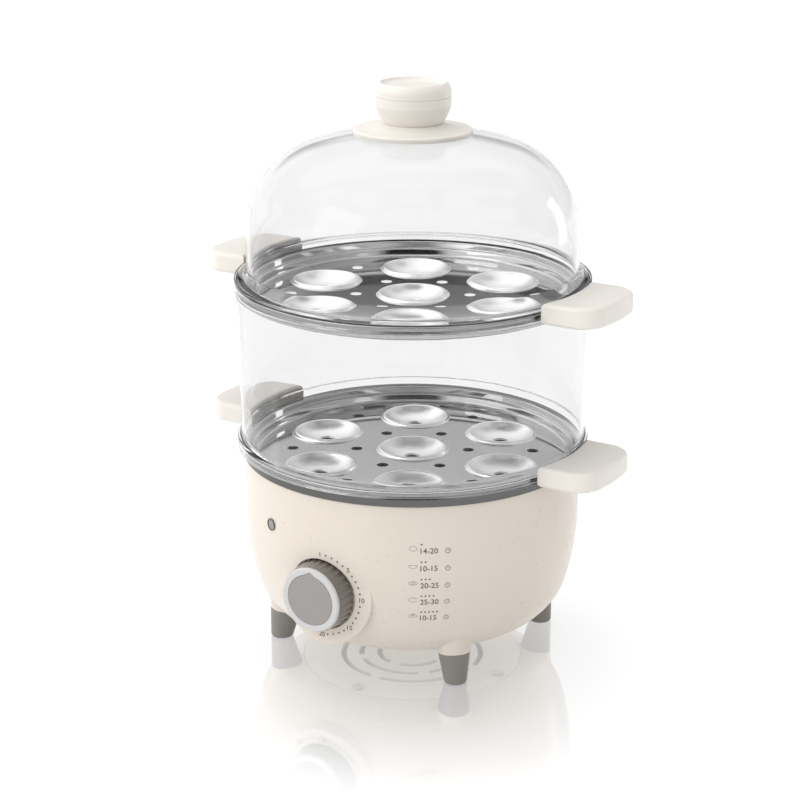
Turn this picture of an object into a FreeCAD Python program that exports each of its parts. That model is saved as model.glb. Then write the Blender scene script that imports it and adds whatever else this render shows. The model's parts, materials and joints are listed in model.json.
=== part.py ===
"""Two-tier electric egg cooker: a cream base with a clockwork timer and a heated steel pan, two
pressed-steel egg trays with side handles, a clear middle ring and a clear domed lid.

Millimetres. The origin is on the cooker's upright axis, on the surface it stands on. +Z is up, the
timer dial faces -Y, and the tray handles lie along +X and -X.
"""

import FreeCAD, Part
import math
import os

# ---- Driving dimensions --------------------------------------------------------------------------

# Base housing: an upright wall, a long side curve and a round bottom corner, all tangent.
HOUSING_R = 89.6
HOUSING_TOP_Z = 107.0
HOUSING_WALL = 1.8
SIDE_CURVE_TOP_Z = 75.9
SIDE_CURVE_R = 144.7
SIDE_CURVE_TURN = 15.2
CORNER_CURVE_R = 32.9
COVER_OPENING_R = 60.3

# Bottom cover and the ledge that it is screwed to.
COVER_R = 60.0
COVER_T = 2.0
LEDGE_INNER_R = 50.0
LEDGE_T = 2.0
COVER_SCREW_R = 55.0
VENT_RADII = (18.0, 28.0, 38.0)
VENT_W = 3.0

# Feet: rubber boots on splayed legs.
FOOT_X = 55.4
FOOT_Y = 46.7
FOOT_SPLAY = 9.0
BOOT_LENGTH = 17.5
BOOT_TOP_R = 8.6
BOOT_BOTTOM_R = 5.9
LEG_PEG_R = 4.0

# Pan, seal, heater.
PAN_R = 90.5
PAN_TOP_Z = 110.0
PAN_SKIRT_Z = 105.4
PAN_WALL_R = 86.7
PAN_FLOOR_Z = 88.8
PAN_T = 0.8
PAN_CORNER_R = 12.0
HEATER_R = 58.0
HEATER_T = 6.0
ELEMENT_R = 44.0
ELEMENT_TUBE_R = 3.2
ELEMENT_GAP = 14.0
BRACKET_Z = 66.0
BRACKET_T = 1.2
BRACKET_INNER_R = 60.0
BRACKET_OUTER_R = 80.0
POST_R = 74.0
STUD_R = 66.0

# Timer and its dial, on a horizontal axis.
DIAL_Z = 52.5
PAD_R = 27.5
PAD_FACE_R = 88.6
SEAT_R = 21.0
SEAT_Y = -77.0
SHAFT_R = 3.0
SHAFT_RUNNING_GAP = 0.06
TIMER_W = 42.0
TIMER_H = 37.0
TIMER_BACK_Y = -47.0
RECESS_R = 19.3
RECESS_FLOOR_Y = -86.0
KNOB_BACK_Y = -86.4
KNOB_R = 18.6
SCALLOP_COUNT = 30
SCALLOP_R = 1.5
SCALLOP_END_Y = -96.6
KNOB_SHOULDER_Y = -97.8
KNOB_WELL_Y = -95.4
KNOB_FRONT_Y = -99.2
SHAFT_END_Y = -94.6
RING_R = 17.2
CAP_R = 13.4
POINTER_R = 15.3

TIMER_SCREWS = ((-15.0, DIAL_Z + 12), (15.0, DIAL_Z + 12))

# Indicator lamp.
LAMP_ANGLE = 22.8
LAMP_Z = 81.3
BEZEL_R = 3.25
LENS_R = 2.6

# Cord gland at the back.
GLAND_Z = 38.0
GLAND_NOSE_Y = 97.5
GLAND_BORE_R = 3.3
GLAND_HOLE_R = 5.1

# Trays: the lower one is seated on the pan, the upper one a fixed pitch above it.
TIER_PITCH = 85.3
TRAY_FLOOR_Z = 105.5
TRAY_T = 0.7
TRAY_RIM_R = 91.1
TRAY_HEM_R = 89.5
TRAY_RIM_RISE = 7.9
TRAY_HEM_RISE = 4.5
CUP_RING_R = 55.0
CUP_R = 18.8
CUP_HOLE_R = 4.2
STEAM_HOLE_R = 3.0
STEAM_RINGS = (30.0, 64.4)

# Handles.
HANDLE_INNER_R = 94.1
HANDLE_END_X = 121.0
HANDLE_HALF_W = 26.4
HANDLE_CORNER_R = 14.0
HANDLE_RISE = 3.0
HANDLE_T = 11.1
HANDLE_PARTING = 6.2
HANDLE_EDGE_R = 2.4
TAB_T = 1.0
TAB_HALF_W = 12.0
TAB_END_X = 113.0
HANDLE_SCREW_X = 106.0
HANDLE_SCREW_Y = 7.5

# Clear ring and clear dome, each with a lip that laps outside a tray's rim.
LIP_R = 93.8
LIP_INNER_R = 91.5
LIP_DROP = 2.9
LIP_NOTCH_HALF_W = 13.5
RING_BOTTOM_R = 91.5
RING_TOP_R = 93.3
CLEAR_T = 2.0
DOME_R = 87.2
DOME_FLARE_R = 6.0
SHOULDER_Z = 226.0
SHOULDER_R = 47.5
CROWN_R = 200.0

# Lid knob.
FLANGE_R = 30.8
FLANGE_TOP_Z = 279.0
GRIP_Z = 281.8
GRIP_FOOT_R = 15.0
GRIP_R = 19.6
GRIP_BELLY_Z = 291.0
GRIP_PARTING_Z = 295.7
GRIP_TOP_Z = 302.8

# ---- Shape helpers -------------------------------------------------------------------------------

UP = FreeCAD.Vector(0, 0, 1)
ORIGIN = FreeCAD.Vector(0, 0, 0)


def vec(x, y, z):
    return FreeCAD.Vector(x, y, z)


def polar(radius, degrees, z=0.0):
    angle = math.radians(degrees)
    return vec(radius * math.cos(angle), radius * math.sin(angle), z)


def outline(start, steps):
    """Closed wire through (r, z) points in the XZ plane.

    A step is the end point of a line, or the (middle, end) pair of an arc.
    """
    here = vec(start[0], 0, start[1])
    edges = []
    for step in steps:
        if isinstance(step[0], tuple):
            middle = vec(step[0][0], 0, step[0][1])
            there = vec(step[1][0], 0, step[1][1])
            edges.append(Part.Arc(here, middle, there).toShape())
        else:
            there = vec(step[0], 0, step[1])
            edges.append(Part.makeLine(here, there))
        here = there
    edges.append(Part.makeLine(here, vec(start[0], 0, start[1])))
    return Part.Wire(edges)


def turned(start, steps):
    """Solid of revolution about the upright axis from a closed (r, z) outline."""
    return Part.Face(outline(start, steps)).revolve(ORIGIN, UP, 360)


def rod(radius, start, end):
    """Cylinder between two points."""
    along = end.sub(start)
    return Part.makeCylinder(radius, along.Length, start, along)


def disc(radius, z_low, z_high, x=0.0, y=0.0):
    return Part.makeCylinder(radius, z_high - z_low, vec(x, y, z_low))


def tube(outer, inner, z_low, z_high, x=0.0, y=0.0):
    return disc(outer, z_low, z_high, x, y).cut(disc(inner, z_low - 1, z_high + 1, x, y))


def block(x_range, y_range, z_range):
    size = [high - low for low, high in (x_range, y_range, z_range)]
    return Part.makeBox(*size, vec(x_range[0], y_range[0], z_range[0]))


def fuse(*shapes):
    return shapes[0].multiFuse(list(shapes[1:])).removeSplitter()


def turned_about(shape, degrees, point=ORIGIN, axis=UP):
    copy = shape.copy()
    copy.rotate(point, axis, degrees)
    return copy


def lifted(shape, rise):
    copy = shape.copy()
    copy.translate(vec(0, 0, rise))
    return copy


def to_front(shape):
    """Turns a solid built about +Z at the origin so that its +Z points along -Y at the dial's axis."""
    copy = turned_about(shape, 90, ORIGIN, vec(1, 0, 0))
    copy.translate(vec(0, 0, DIAL_Z))
    return copy


def rounded(shape, radius, chosen):
    """Fillets the edges for which chosen(edge) is true."""
    return shape.makeFillet(radius, [edge for edge in shape.Edges if chosen(edge)])


def save(name, shape):
    """Writes one node, whose solids stay separate."""
    solids = shape.Solids
    whole = Part.makeCompound(solids) if len(solids) > 1 else solids[0]
    whole.exportStep(f"parts/{name}.step")
    print(f"{name:28s} solids {len(solids)}  {shape.Volume / 1000:8.2f} cm3  valid {shape.isValid()}")


# ---- Base housing --------------------------------------------------------------------------------


def bowl_steps(inset):
    """Outline steps of the bowl's side from its top edge to the cover opening, moved in by inset."""
    turn = math.radians(SIDE_CURVE_TURN)
    side_r = SIDE_CURVE_R - inset
    corner_r = CORNER_CURVE_R - inset
    side_x = HOUSING_R - SIDE_CURVE_R
    corner_x = side_x + (SIDE_CURVE_R - CORNER_CURVE_R) * math.cos(turn)
    corner_z = SIDE_CURVE_TOP_Z - (SIDE_CURVE_R - CORNER_CURVE_R) * math.sin(turn)
    last = math.acos((COVER_OPENING_R - corner_x) / corner_r)

    def on_side(angle):
        return (side_x + side_r * math.cos(angle), SIDE_CURVE_TOP_Z - side_r * math.sin(angle))

    def on_corner(angle):
        return (corner_x + corner_r * math.cos(angle), corner_z - corner_r * math.sin(angle))

    return [
        (HOUSING_R - inset, SIDE_CURVE_TOP_Z),
        (on_side(turn / 2), on_side(turn)),
        (on_corner((turn + last) / 2), on_corner(last)),
    ]


def bowl_solid(inset, top_z):
    """The bowl as a solid plug, closed flat across its top and across the cover opening."""
    steps = bowl_steps(inset)
    bottom_z = steps[-1][1][1]
    return turned((0, top_z), [(HOUSING_R - inset, top_z), *steps, (0, bottom_z)])


COVER_TOP_Z = bowl_steps(HOUSING_WALL)[-1][1][1]


def leg_frame(sign_x, sign_y):
    """Foot point on the floor and unit direction up the splayed leg."""
    foot = vec(sign_x * FOOT_X, sign_y * FOOT_Y, 0)
    inward = foot.negative().normalize()
    splay = math.radians(FOOT_SPLAY)
    return foot, inward * math.sin(splay) + UP * math.cos(splay)


def boot_envelope(sign_x, sign_y):
    """Rubber boot without its socket: a tapered foot cut flat on the floor with a rounded toe."""
    foot, along = leg_frame(sign_x, sign_y)
    start = foot - along * 3
    taper = (BOOT_TOP_R - BOOT_BOTTOM_R) / BOOT_LENGTH
    cone = Part.makeCone(BOOT_BOTTOM_R - 3 * taper, BOOT_TOP_R, BOOT_LENGTH + 3, start, along)
    floor_cut = block((-120, 120), (-120, 120), (-20, 0))
    boot = cone.cut(floor_cut)
    return rounded(boot, 1.6, lambda edge: edge.BoundBox.ZMax < 0.01)


def leg_stub(sign_x, sign_y):
    """Cream leg root that flares from the boot's top into the housing."""
    foot, along = leg_frame(sign_x, sign_y)
    return Part.makeCone(BOOT_TOP_R - 0.1, BOOT_TOP_R + 3.2, 14, foot + along * (BOOT_LENGTH - 1), along)


def leg_peg(sign_x, sign_y, radius):
    foot, along = leg_frame(sign_x, sign_y)
    return rod(radius, foot + along * 5, foot + along * (BOOT_LENGTH + 3))


CORNERS = {
    "front_left": (-1, -1),
    "front_right": (1, -1),
    "rear_left": (-1, 1),
    "rear_right": (1, 1),
}
POST_ANGLES = (45, 135, 225, 315)
STUD_ANGLES = (90, 210, 330)
COVER_SCREW_ANGLES = (0, 90, 180, 270)


def lamp_axis():
    """Unit direction from the cooker's axis out through the indicator lamp."""
    return polar(1, -90 - LAMP_ANGLE)


def lamp_point(radius):
    return lamp_axis() * radius + UP * LAMP_Z


def housing():
    cavity = bowl_solid(HOUSING_WALL, HOUSING_TOP_Z + 5)
    shell = bowl_solid(0, HOUSING_TOP_Z)
    pad = to_front(disc(PAD_R, 60, 95)).common(disc(PAD_FACE_R, 20, 90))
    shell = fuse(shell, pad, *[leg_stub(*c) for c in CORNERS.values()])
    seat = to_front(disc(SEAT_R, -SEAT_Y, 86))
    ledge = tube(COVER_OPENING_R + 8, LEDGE_INNER_R, COVER_TOP_Z, COVER_TOP_Z + LEDGE_T)
    bosses = [
        disc(4, COVER_TOP_Z, COVER_TOP_Z + 11, p.x, p.y)
        for p in (polar(COVER_SCREW_R, a) for a in COVER_SCREW_ANGLES)
    ]
    posts = [disc(5, 20, BRACKET_Z, p.x, p.y) for p in (polar(POST_R, a) for a in POST_ANGLES)]
    opening = disc(COVER_OPENING_R, 0, COVER_TOP_Z)
    boots = [boot_envelope(*c) for c in CORNERS.values()]
    body = shell.cut(cavity).cut(opening)
    inside = Part.makeCompound([ledge, *posts]).common(bowl_solid(0.2, HOUSING_TOP_Z))
    body = fuse(body, seat, *inside.Solids, *bosses)
    for boot in boots:
        body = body.cut(boot)
    body = fuse(body, *[leg_peg(*c, LEG_PEG_R) for c in CORNERS.values()])
    for angle in POST_ANGLES:
        at = polar(POST_R, angle)
        body = body.cut(disc(1.6, BRACKET_Z - 10, BRACKET_Z + 1, at.x, at.y))
    for angle in COVER_SCREW_ANGLES:
        at = polar(COVER_SCREW_R, angle)
        body = body.cut(disc(1.5, COVER_TOP_Z - 1, COVER_TOP_Z + 9, at.x, at.y))
    for x, z in TIMER_SCREWS:
        body = body.cut(rod(1.5, vec(x, SEAT_Y - 6, z), vec(x, SEAT_Y + 1, z)))
    body = body.cut(to_front(disc(5, 60, 100)))
    body = body.cut(to_front(disc(RECESS_R, -RECESS_FLOOR_Y, 100)))
    body = body.cut(rod(LENS_R + 0.4, lamp_point(70), lamp_point(95)))
    return body.cut(rod(GLAND_HOLE_R, vec(0, 70, GLAND_Z), vec(0, 100, GLAND_Z)))


def boot(sign_x, sign_y):
    return boot_envelope(sign_x, sign_y).cut(leg_peg(sign_x, sign_y, LEG_PEG_R + 0.05))


def bottom_cover():
    cover = disc(COVER_R, COVER_TOP_Z - COVER_T, COVER_TOP_Z)
    for index, radius in enumerate(VENT_RADII):
        ring = tube(radius + VENT_W / 2, radius - VENT_W / 2, COVER_TOP_Z - 5, COVER_TOP_Z + 5)
        for quarter in range(4):
            rib = block((0, 80), (-3, 3), (0, 30))
            ring = ring.cut(turned_about(rib, 90 * quarter + 45 * (index % 2)))
        cover = cover.cut(ring)
    for angle in COVER_SCREW_ANGLES:
        at = polar(COVER_SCREW_R, angle)
        cover = cover.cut(disc(1.7, 0, 30, at.x, at.y))
    return cover


def cover_screws():
    screws = []
    for angle in COVER_SCREW_ANGLES:
        at = polar(COVER_SCREW_R, angle)
        head = disc(3.0, COVER_TOP_Z - COVER_T - 1.6, COVER_TOP_Z - COVER_T, at.x, at.y)
        shank = disc(1.5, COVER_TOP_Z - COVER_T, COVER_TOP_Z + 8, at.x, at.y)
        screws.append(fuse(head, shank))
    return Part.makeCompound(screws)


# ---- Pan and heater ------------------------------------------------------------------------------


def heating_pan():
    """Shallow water pan: flat floor, round corner, upright wall, and a rim folded over the housing."""
    lower_z = PAN_FLOOR_Z - PAN_T
    slant = math.sqrt(0.5)
    flat_r = PAN_WALL_R - PAN_CORNER_R
    centre_z = PAN_FLOOR_Z + PAN_CORNER_R

    def corner(radius):
        middle = (flat_r + radius * slant, centre_z - radius * slant)
        return middle, (flat_r + radius, centre_z)

    outer_corner_r = PAN_CORNER_R + PAN_T
    wall_outer_r = PAN_WALL_R + PAN_T
    middle_in, end_in = corner(PAN_CORNER_R)
    middle_out, end_out = corner(outer_corner_r)
    return turned(
        (0, lower_z),
        [
            (flat_r, lower_z),
            (middle_out, end_out),
            (wall_outer_r, PAN_TOP_Z - PAN_T),
            (PAN_R - PAN_T, PAN_TOP_Z - PAN_T),
            (PAN_R - PAN_T, PAN_SKIRT_Z),
            (PAN_R, PAN_SKIRT_Z),
            (PAN_R, PAN_TOP_Z - 0.9),
            ((PAN_R - 0.26, PAN_TOP_Z - 0.26), (PAN_R - 0.9, PAN_TOP_Z)),
            (PAN_WALL_R, PAN_TOP_Z),
            end_in,
            (middle_in, (flat_r, PAN_FLOOR_Z)),
            (0, PAN_FLOOR_Z),
        ],
    )


def pan_seal():
    inner_r = HOUSING_R - HOUSING_WALL + 0.1
    return tube(HOUSING_R - 0.1, inner_r, HOUSING_TOP_Z, PAN_TOP_Z - PAN_T)


HEATER_TOP_Z = PAN_FLOOR_Z - PAN_T
HEATER_LOW_Z = HEATER_TOP_Z - HEATER_T


def heater_plate():
    return disc(HEATER_R, HEATER_LOW_Z, HEATER_TOP_Z)


def element_end(side):
    """Place of one cold end of the element, beside the gap at the back."""
    return polar(ELEMENT_R, 90 + side * ELEMENT_GAP)


def heater_element():
    """Tubular ring under the plate whose two ends turn down beside a gap at the back."""
    centre_z = HEATER_LOW_Z - ELEMENT_TUBE_R
    sweep = 360 - 2 * ELEMENT_GAP
    ring = Part.makeTorus(ELEMENT_R, ELEMENT_TUBE_R, vec(0, 0, centre_z), UP, -180, 180, sweep)
    parts = [turned_about(ring, 90 + ELEMENT_GAP)]
    for side in (-1, 1):
        at = element_end(side)
        knee = Part.makeSphere(ELEMENT_TUBE_R, vec(at.x, at.y, centre_z))
        leg = disc(ELEMENT_TUBE_R, centre_z - 9, centre_z, at.x, at.y)
        pin = disc(1.6, centre_z - 17, centre_z - 9, at.x, at.y)
        parts += [knee, leg, pin]
    return fuse(*parts)


def element_insulators():
    centre_z = HEATER_LOW_Z - ELEMENT_TUBE_R
    rings = []
    for side in (-1, 1):
        at = element_end(side)
        rings.append(tube(3.0, 1.65, centre_z - 13, centre_z - 9, at.x, at.y))
    return Part.makeCompound(rings)


def pan_studs():
    return Part.makeCompound(
        [
            disc(2.0, BRACKET_Z - 6, HEATER_TOP_Z, at.x, at.y)
            for at in (polar(STUD_R, angle) for angle in STUD_ANGLES)
        ]
    )


def hexagon(radius, z_low, height, at):
    corners = [at + polar(radius, 60 * k, z_low) for k in range(7)]
    return Part.Face(Part.makePolygon(corners)).extrude(vec(0, 0, height))


def pan_nuts():
    nuts = []
    for angle in STUD_ANGLES:
        at = polar(STUD_R, angle)
        nuts.append(hexagon(4.0, BRACKET_Z - 3.2, 3.2, at).cut(disc(2.0, 50, 80, at.x, at.y)))
    return Part.makeCompound(nuts)


def pan_bracket():
    """Flat steel ring, open at the front where the timer sits, that ties the pan's studs to the posts."""
    ring = tube(BRACKET_OUTER_R, BRACKET_INNER_R, BRACKET_Z, BRACKET_Z + BRACKET_T)
    ring = ring.cut(block((-32, 32), (-100, 0), (50, 80)))
    for radius, angles, hole in ((STUD_R, STUD_ANGLES, 2.1), (POST_R, POST_ANGLES, 1.7)):
        for angle in angles:
            at = polar(radius, angle)
            ring = ring.cut(disc(hole, 50, 80, at.x, at.y))
    return ring


def bracket_screws():
    screws = []
    top = BRACKET_Z + BRACKET_T
    for angle in POST_ANGLES:
        at = polar(POST_R, angle)
        head = disc(3.2, top, top + 2, at.x, at.y)
        shank = disc(1.6, BRACKET_Z - 9, top, at.x, at.y)
        screws.append(fuse(head, shank))
    return Part.makeCompound(screws)


def thermostat():
    flange = disc(8.5, HEATER_LOW_Z - 7, HEATER_LOW_Z)
    return fuse(flange, disc(5.0, HEATER_LOW_Z - 12, HEATER_LOW_Z - 7))


THERMOSTAT_SCREW_X = 14.0


def thermostat_bracket():
    low = HEATER_LOW_Z - 8
    strap = block((-18, 18), (-7, 7), (low, low + 1)).cut(disc(5.2, low - 1, low + 2))
    spacers = [disc(3, low + 1, HEATER_LOW_Z, side * THERMOSTAT_SCREW_X) for side in (-1, 1)]
    bracket = fuse(strap, *spacers)
    for side in (-1, 1):
        bracket = bracket.cut(disc(1.5, low - 1, HEATER_LOW_Z + 1, side * THERMOSTAT_SCREW_X))
    return bracket


def thermostat_screws():
    low = HEATER_LOW_Z - 8
    screws = []
    for x in (-THERMOSTAT_SCREW_X, THERMOSTAT_SCREW_X):
        screws.append(fuse(disc(2.8, low - 1.6, low, x), disc(1.5, low, HEATER_LOW_Z, x)))
    return Part.makeCompound(screws)


FUSE_R = 2.4
FUSE_Y = 24.0
FUSE_Z = HEATER_LOW_Z - FUSE_R - 0.8
CLIP_HALF_W = 3.0


def thermal_fuse():
    return rod(FUSE_R, vec(-8, FUSE_Y, FUSE_Z), vec(8, FUSE_Y, FUSE_Z))


def fuse_clip():
    """Block clamp round the fuse, with its flat top against the heater plate."""
    across = (FUSE_Y - 6, FUSE_Y + 6)
    clip = block((-CLIP_HALF_W, CLIP_HALF_W), across, (FUSE_Z - FUSE_R - 0.8, HEATER_LOW_Z))
    bore_end = CLIP_HALF_W + 1
    return clip.cut(rod(FUSE_R, vec(-bore_end, FUSE_Y, FUSE_Z), vec(bore_end, FUSE_Y, FUSE_Z)))


# ---- Timer, dial, lamp, mains inlet --------------------------------------------------------------

PLATE_T = 1.5
TIMER_FRONT_Y = SEAT_Y + PLATE_T


def timer_plate():
    plate = block((-SEAT_R + 1, SEAT_R - 1), (SEAT_Y, TIMER_FRONT_Y), (DIAL_Z - 18, DIAL_Z + 18))
    plate = plate.cut(to_front(disc(SHAFT_R + 0.4, 60, 90)))
    for x, z in TIMER_SCREWS:
        plate = plate.cut(rod(1.6, vec(x, -90, z), vec(x, -60, z)))
    return plate


def timer_screws():
    screws = []
    for x, z in TIMER_SCREWS:
        head = rod(2.8, vec(x, TIMER_FRONT_Y, z), vec(x, TIMER_FRONT_Y + 1.6, z))
        shank = rod(1.5, vec(x, TIMER_FRONT_Y, z), vec(x, SEAT_Y - 5, z))
        screws.append(fuse(head, shank))
    return Part.makeCompound(screws)


def timer_case():
    """Clockwork case with a bell-side boss; its front has corners cut back for the plate's screws."""
    half_w = TIMER_W / 2
    low = DIAL_Z - 20
    case = block((-half_w, half_w), (TIMER_FRONT_Y, TIMER_BACK_Y), (low, low + TIMER_H))
    for x, z in TIMER_SCREWS:
        case = case.cut(rod(3.2, vec(x, TIMER_FRONT_Y - 1, z), vec(x, TIMER_FRONT_Y + 2.2, z)))
    bore = to_front(disc(SHAFT_R + SHAFT_RUNNING_GAP, 60, 80))
    return case.cut(bore)


def timer_bell():
    at_y = TIMER_BACK_Y
    cup = rod(15, vec(0, at_y + 2, DIAL_Z), vec(0, at_y + 8, DIAL_Z))
    hollow = rod(14, vec(0, at_y + 1, DIAL_Z), vec(0, at_y + 7, DIAL_Z))
    stem = rod(1.5, vec(0, at_y, DIAL_Z), vec(0, at_y + 7.5, DIAL_Z))
    return fuse(cup.cut(hollow), stem)


def timer_shaft():
    return to_front(disc(SHAFT_R, 62, -SHAFT_END_Y))


def dial_knob():
    """Tapered knob with scallops along its side, a well for the cap and a bore for the shaft."""
    back, shoulder = -KNOB_BACK_Y, -KNOB_SHOULDER_Y
    end = -SCALLOP_END_Y
    tip_r = RING_R + 0.25
    end_r = tip_r + (KNOB_R - tip_r) * (shoulder - end) / (shoulder - back)
    knob = turned(
        (0, back),
        [
            (KNOB_R - 0.4, back),
            (KNOB_R, back + 0.4),
            (tip_r, shoulder),
            (CAP_R + 0.1, shoulder),
            (CAP_R + 0.1, -KNOB_WELL_Y),
            (0, -KNOB_WELL_Y),
        ],
    )
    for k in range(SCALLOP_COUNT):
        angle = 360 * k / SCALLOP_COUNT
        low = polar(KNOB_R + SCALLOP_R - 0.75, angle, back - 0.5)
        high = polar(end_r + SCALLOP_R - 0.2, angle, end)
        knob = knob.cut(rod(SCALLOP_R, low, high))
    knob = knob.cut(disc(SHAFT_R + 0.02, back - 1, -SHAFT_END_Y + 0.02))
    return to_front(knob)


def dial_ring():
    shoulder, front = -KNOB_SHOULDER_Y, -KNOB_FRONT_Y
    ring = turned(
        (CAP_R + 0.15, shoulder),
        [
            (RING_R + 0.1, shoulder),
            (RING_R, shoulder + 0.4),
            ((RING_R - 0.3, front - 0.3), (RING_R - 1.2, front)),
            (CAP_R + 0.5, front),
            ((CAP_R + 0.25, front - 0.1), (CAP_R + 0.15, front - 0.4)),
        ],
    )
    return to_front(ring.cut(cap_prism(0.12, shoulder + 0.6, front + 1)))


def cap_prism(grow, low, high):
    """The cap's outline, a disc with a short pointer at the off mark, as an upright prism."""
    radius = CAP_R + grow
    half = 22.0
    side = polar(radius, 90 - half)
    tip = polar(POINTER_R + grow, 90)
    round_part = disc(radius, low, high)
    corners = [vec(-side.x, side.y, low), vec(0, tip.y, low), vec(side.x, side.y, low), vec(0, 0, low)]
    corners.append(corners[0])
    pointer = Part.Face(Part.makePolygon(corners)).extrude(vec(0, 0, high - low))
    return fuse(round_part, pointer)


def dial_cap():
    front = -KNOB_FRONT_Y
    plug = disc(CAP_R, -KNOB_WELL_Y, front - 0.15)
    return to_front(fuse(plug, cap_prism(0, -KNOB_SHOULDER_Y + 0.7, front - 0.15)))


def indicator_bezel():
    wide = rod(BEZEL_R, lamp_point(HOUSING_R), lamp_point(HOUSING_R + 0.8))
    neck = rod(LENS_R + 0.35, lamp_point(HOUSING_R - 5), lamp_point(HOUSING_R))
    return fuse(wide, neck).cut(rod(LENS_R + 0.05, lamp_point(70), lamp_point(95)))


def indicator_lens():
    return rod(LENS_R, lamp_point(HOUSING_R - 6), lamp_point(HOUSING_R + 0.5))


def indicator_lamp():
    return fuse(
        rod(1.9, lamp_point(HOUSING_R - 16), lamp_point(HOUSING_R - 8)),
        Part.makeSphere(1.9, lamp_point(HOUSING_R - 8)),
    )


def terminal_block():
    low = COVER_TOP_Z
    body = block((-16, 16), (30, 44), (low, low + 13))
    for k in (-1, 0, 1):
        body = body.cut(disc(2.2, low + 5, low + 20, 10 * k, 37))
    return body


def cord_gland():
    """Bush through the back wall, with a collar outside, a collar inside and a tapered nose."""
    inner_y = 78.0
    collar_y = 87.2
    collar_r = 6.6

    def along(radius, start_y, end_y):
        return rod(radius, vec(0, start_y, GLAND_Z), vec(0, end_y, GLAND_Z))

    nose = Part.makeCone(5.4, 4.3, GLAND_NOSE_Y - collar_y, vec(0, collar_y, GLAND_Z), vec(0, 1, 0))
    solid = fuse(along(5.0, inner_y, collar_y), along(collar_r, inner_y, 80.4), nose)
    solid = fuse(solid, along(collar_r, collar_y - 2.0, collar_y))
    wall = bowl_solid(0, HOUSING_TOP_Z).cut(bowl_solid(HOUSING_WALL, HOUSING_TOP_Z + 5))
    wall = wall.cut(along(GLAND_HOLE_R, 70, 100))
    return solid.cut(wall).cut(along(GLAND_BORE_R, 70, 100))


WIRE_R = 0.9


def wire(points, radius):
    """Insulated wire along straight runs joined by tangent arcs."""
    edges = []
    here = points[0]
    for before, corner, after in zip(points, points[1:], points[2:]):
        run_in = (corner - before).Length
        run_out = (after - corner).Length
        reach = 0.45 * min(run_in, run_out)
        to_before = (before - corner).normalize()
        to_after = (after - corner).normalize()
        turn = math.pi - to_before.getAngle(to_after)
        bend_r = reach / math.tan(turn / 2)
        arc_start = corner + to_before * reach
        arc_end = corner + to_after * reach
        bisector = (to_before + to_after).normalize()
        middle = corner + bisector * (math.hypot(reach, bend_r) - bend_r)
        edges.append(Part.makeLine(here, arc_start))
        edges.append(Part.Arc(arc_start, middle, arc_end).toShape())
        here = arc_end
    edges.append(Part.makeLine(here, points[-1]))
    path = Part.Wire(edges)
    along = points[1] - points[0]
    section = Part.Wire(Part.makeCircle(radius, points[0], along))
    return path.makePipeShell([section], True, False)


def internal_wires():
    """Leads between the terminal block, the timer, the thermostat, the element and the lamp."""
    block_top = COVER_TOP_Z + 13
    pin_z = HEATER_LOW_Z - ELEMENT_TUBE_R - 17
    left_pin = element_end(1)
    right_pin = element_end(-1)
    lamp_back = lamp_point(HOUSING_R - 16)
    above_left_pin = vec(left_pin.x, left_pin.y, 54)
    above_right_pin = vec(right_pin.x, right_pin.y, 52)
    thermostat_low = HEATER_LOW_Z - 12
    timer_y = TIMER_BACK_Y
    block_to_timer = [vec(-12, 34, block_top), vec(-13, 32, 44), vec(-18, 0, 47), vec(-18, timer_y, 47)]
    block_to_element = [
        vec(12, 34, block_top),
        vec(12, 36, 45),
        above_right_pin,
        vec(right_pin.x, right_pin.y, pin_z),
    ]
    timer_to_thermostat = [
        vec(17, timer_y, 58),
        vec(17, -30, 58),
        vec(8, -10, 62),
        vec(3.5, 0, 65),
        vec(3.5, 0, thermostat_low),
    ]
    thermostat_to_element = [
        vec(-3.5, 0, thermostat_low),
        vec(-3.5, 0, 62),
        vec(-7, 20, 56),
        above_left_pin,
        vec(left_pin.x, left_pin.y, pin_z),
    ]
    lamp_to_timer = [
        lamp_back,
        lamp_point(HOUSING_R - 22),
        vec(-26, -50, 76),
        vec(-20, -38, 66),
        vec(-17, timer_y + 6, 62),
        vec(-17, timer_y, 61),
    ]
    routes = [block_to_timer, block_to_element, timer_to_thermostat, thermostat_to_element, lamp_to_timer]
    return Part.makeCompound([wire(route, WIRE_R) for route in routes])


# ---- Trays and handles ---------------------------------------------------------------------------


def shifted(steps, dr, dz):
    """The same outline steps moved by (dr, dz)."""

    def move(point):
        return (point[0] + dr, point[1] + dz)

    return [(move(s[0]), move(s[1])) if isinstance(s[0], tuple) else move(s) for s in steps]


def reversed_steps(start, steps):
    """Steps that walk the same path backwards from its end to start."""
    points = [start] + [s[1] if isinstance(s[0], tuple) else s for s in steps]
    back = []
    for index in range(len(steps) - 1, -1, -1):
        step = steps[index]
        target = points[index]
        back.append((step[0], target) if isinstance(step[0], tuple) else target)
    return back


def egg_cup(floor_z):
    """Pressed cup: a raised bead round a shallow bowl with a hole at its bottom."""
    start = (CUP_R, floor_z)
    surface = [
        ((CUP_R - 0.5, floor_z + 0.95), (CUP_R - 1.5, floor_z + 1.5)),
        ((CUP_R - 2.3, floor_z + 1.35), (CUP_R - 2.8, floor_z + 0.8)),
        ((11.0, floor_z - 2.4), (CUP_HOLE_R, floor_z - 3.7)),
    ]
    under_start = (CUP_R, floor_z - TRAY_T)
    under = shifted(surface, 0, -TRAY_T)
    end_under = under[-1][1]
    return turned(start, [*surface, end_under, *reversed_steps(under_start, under)])


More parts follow.
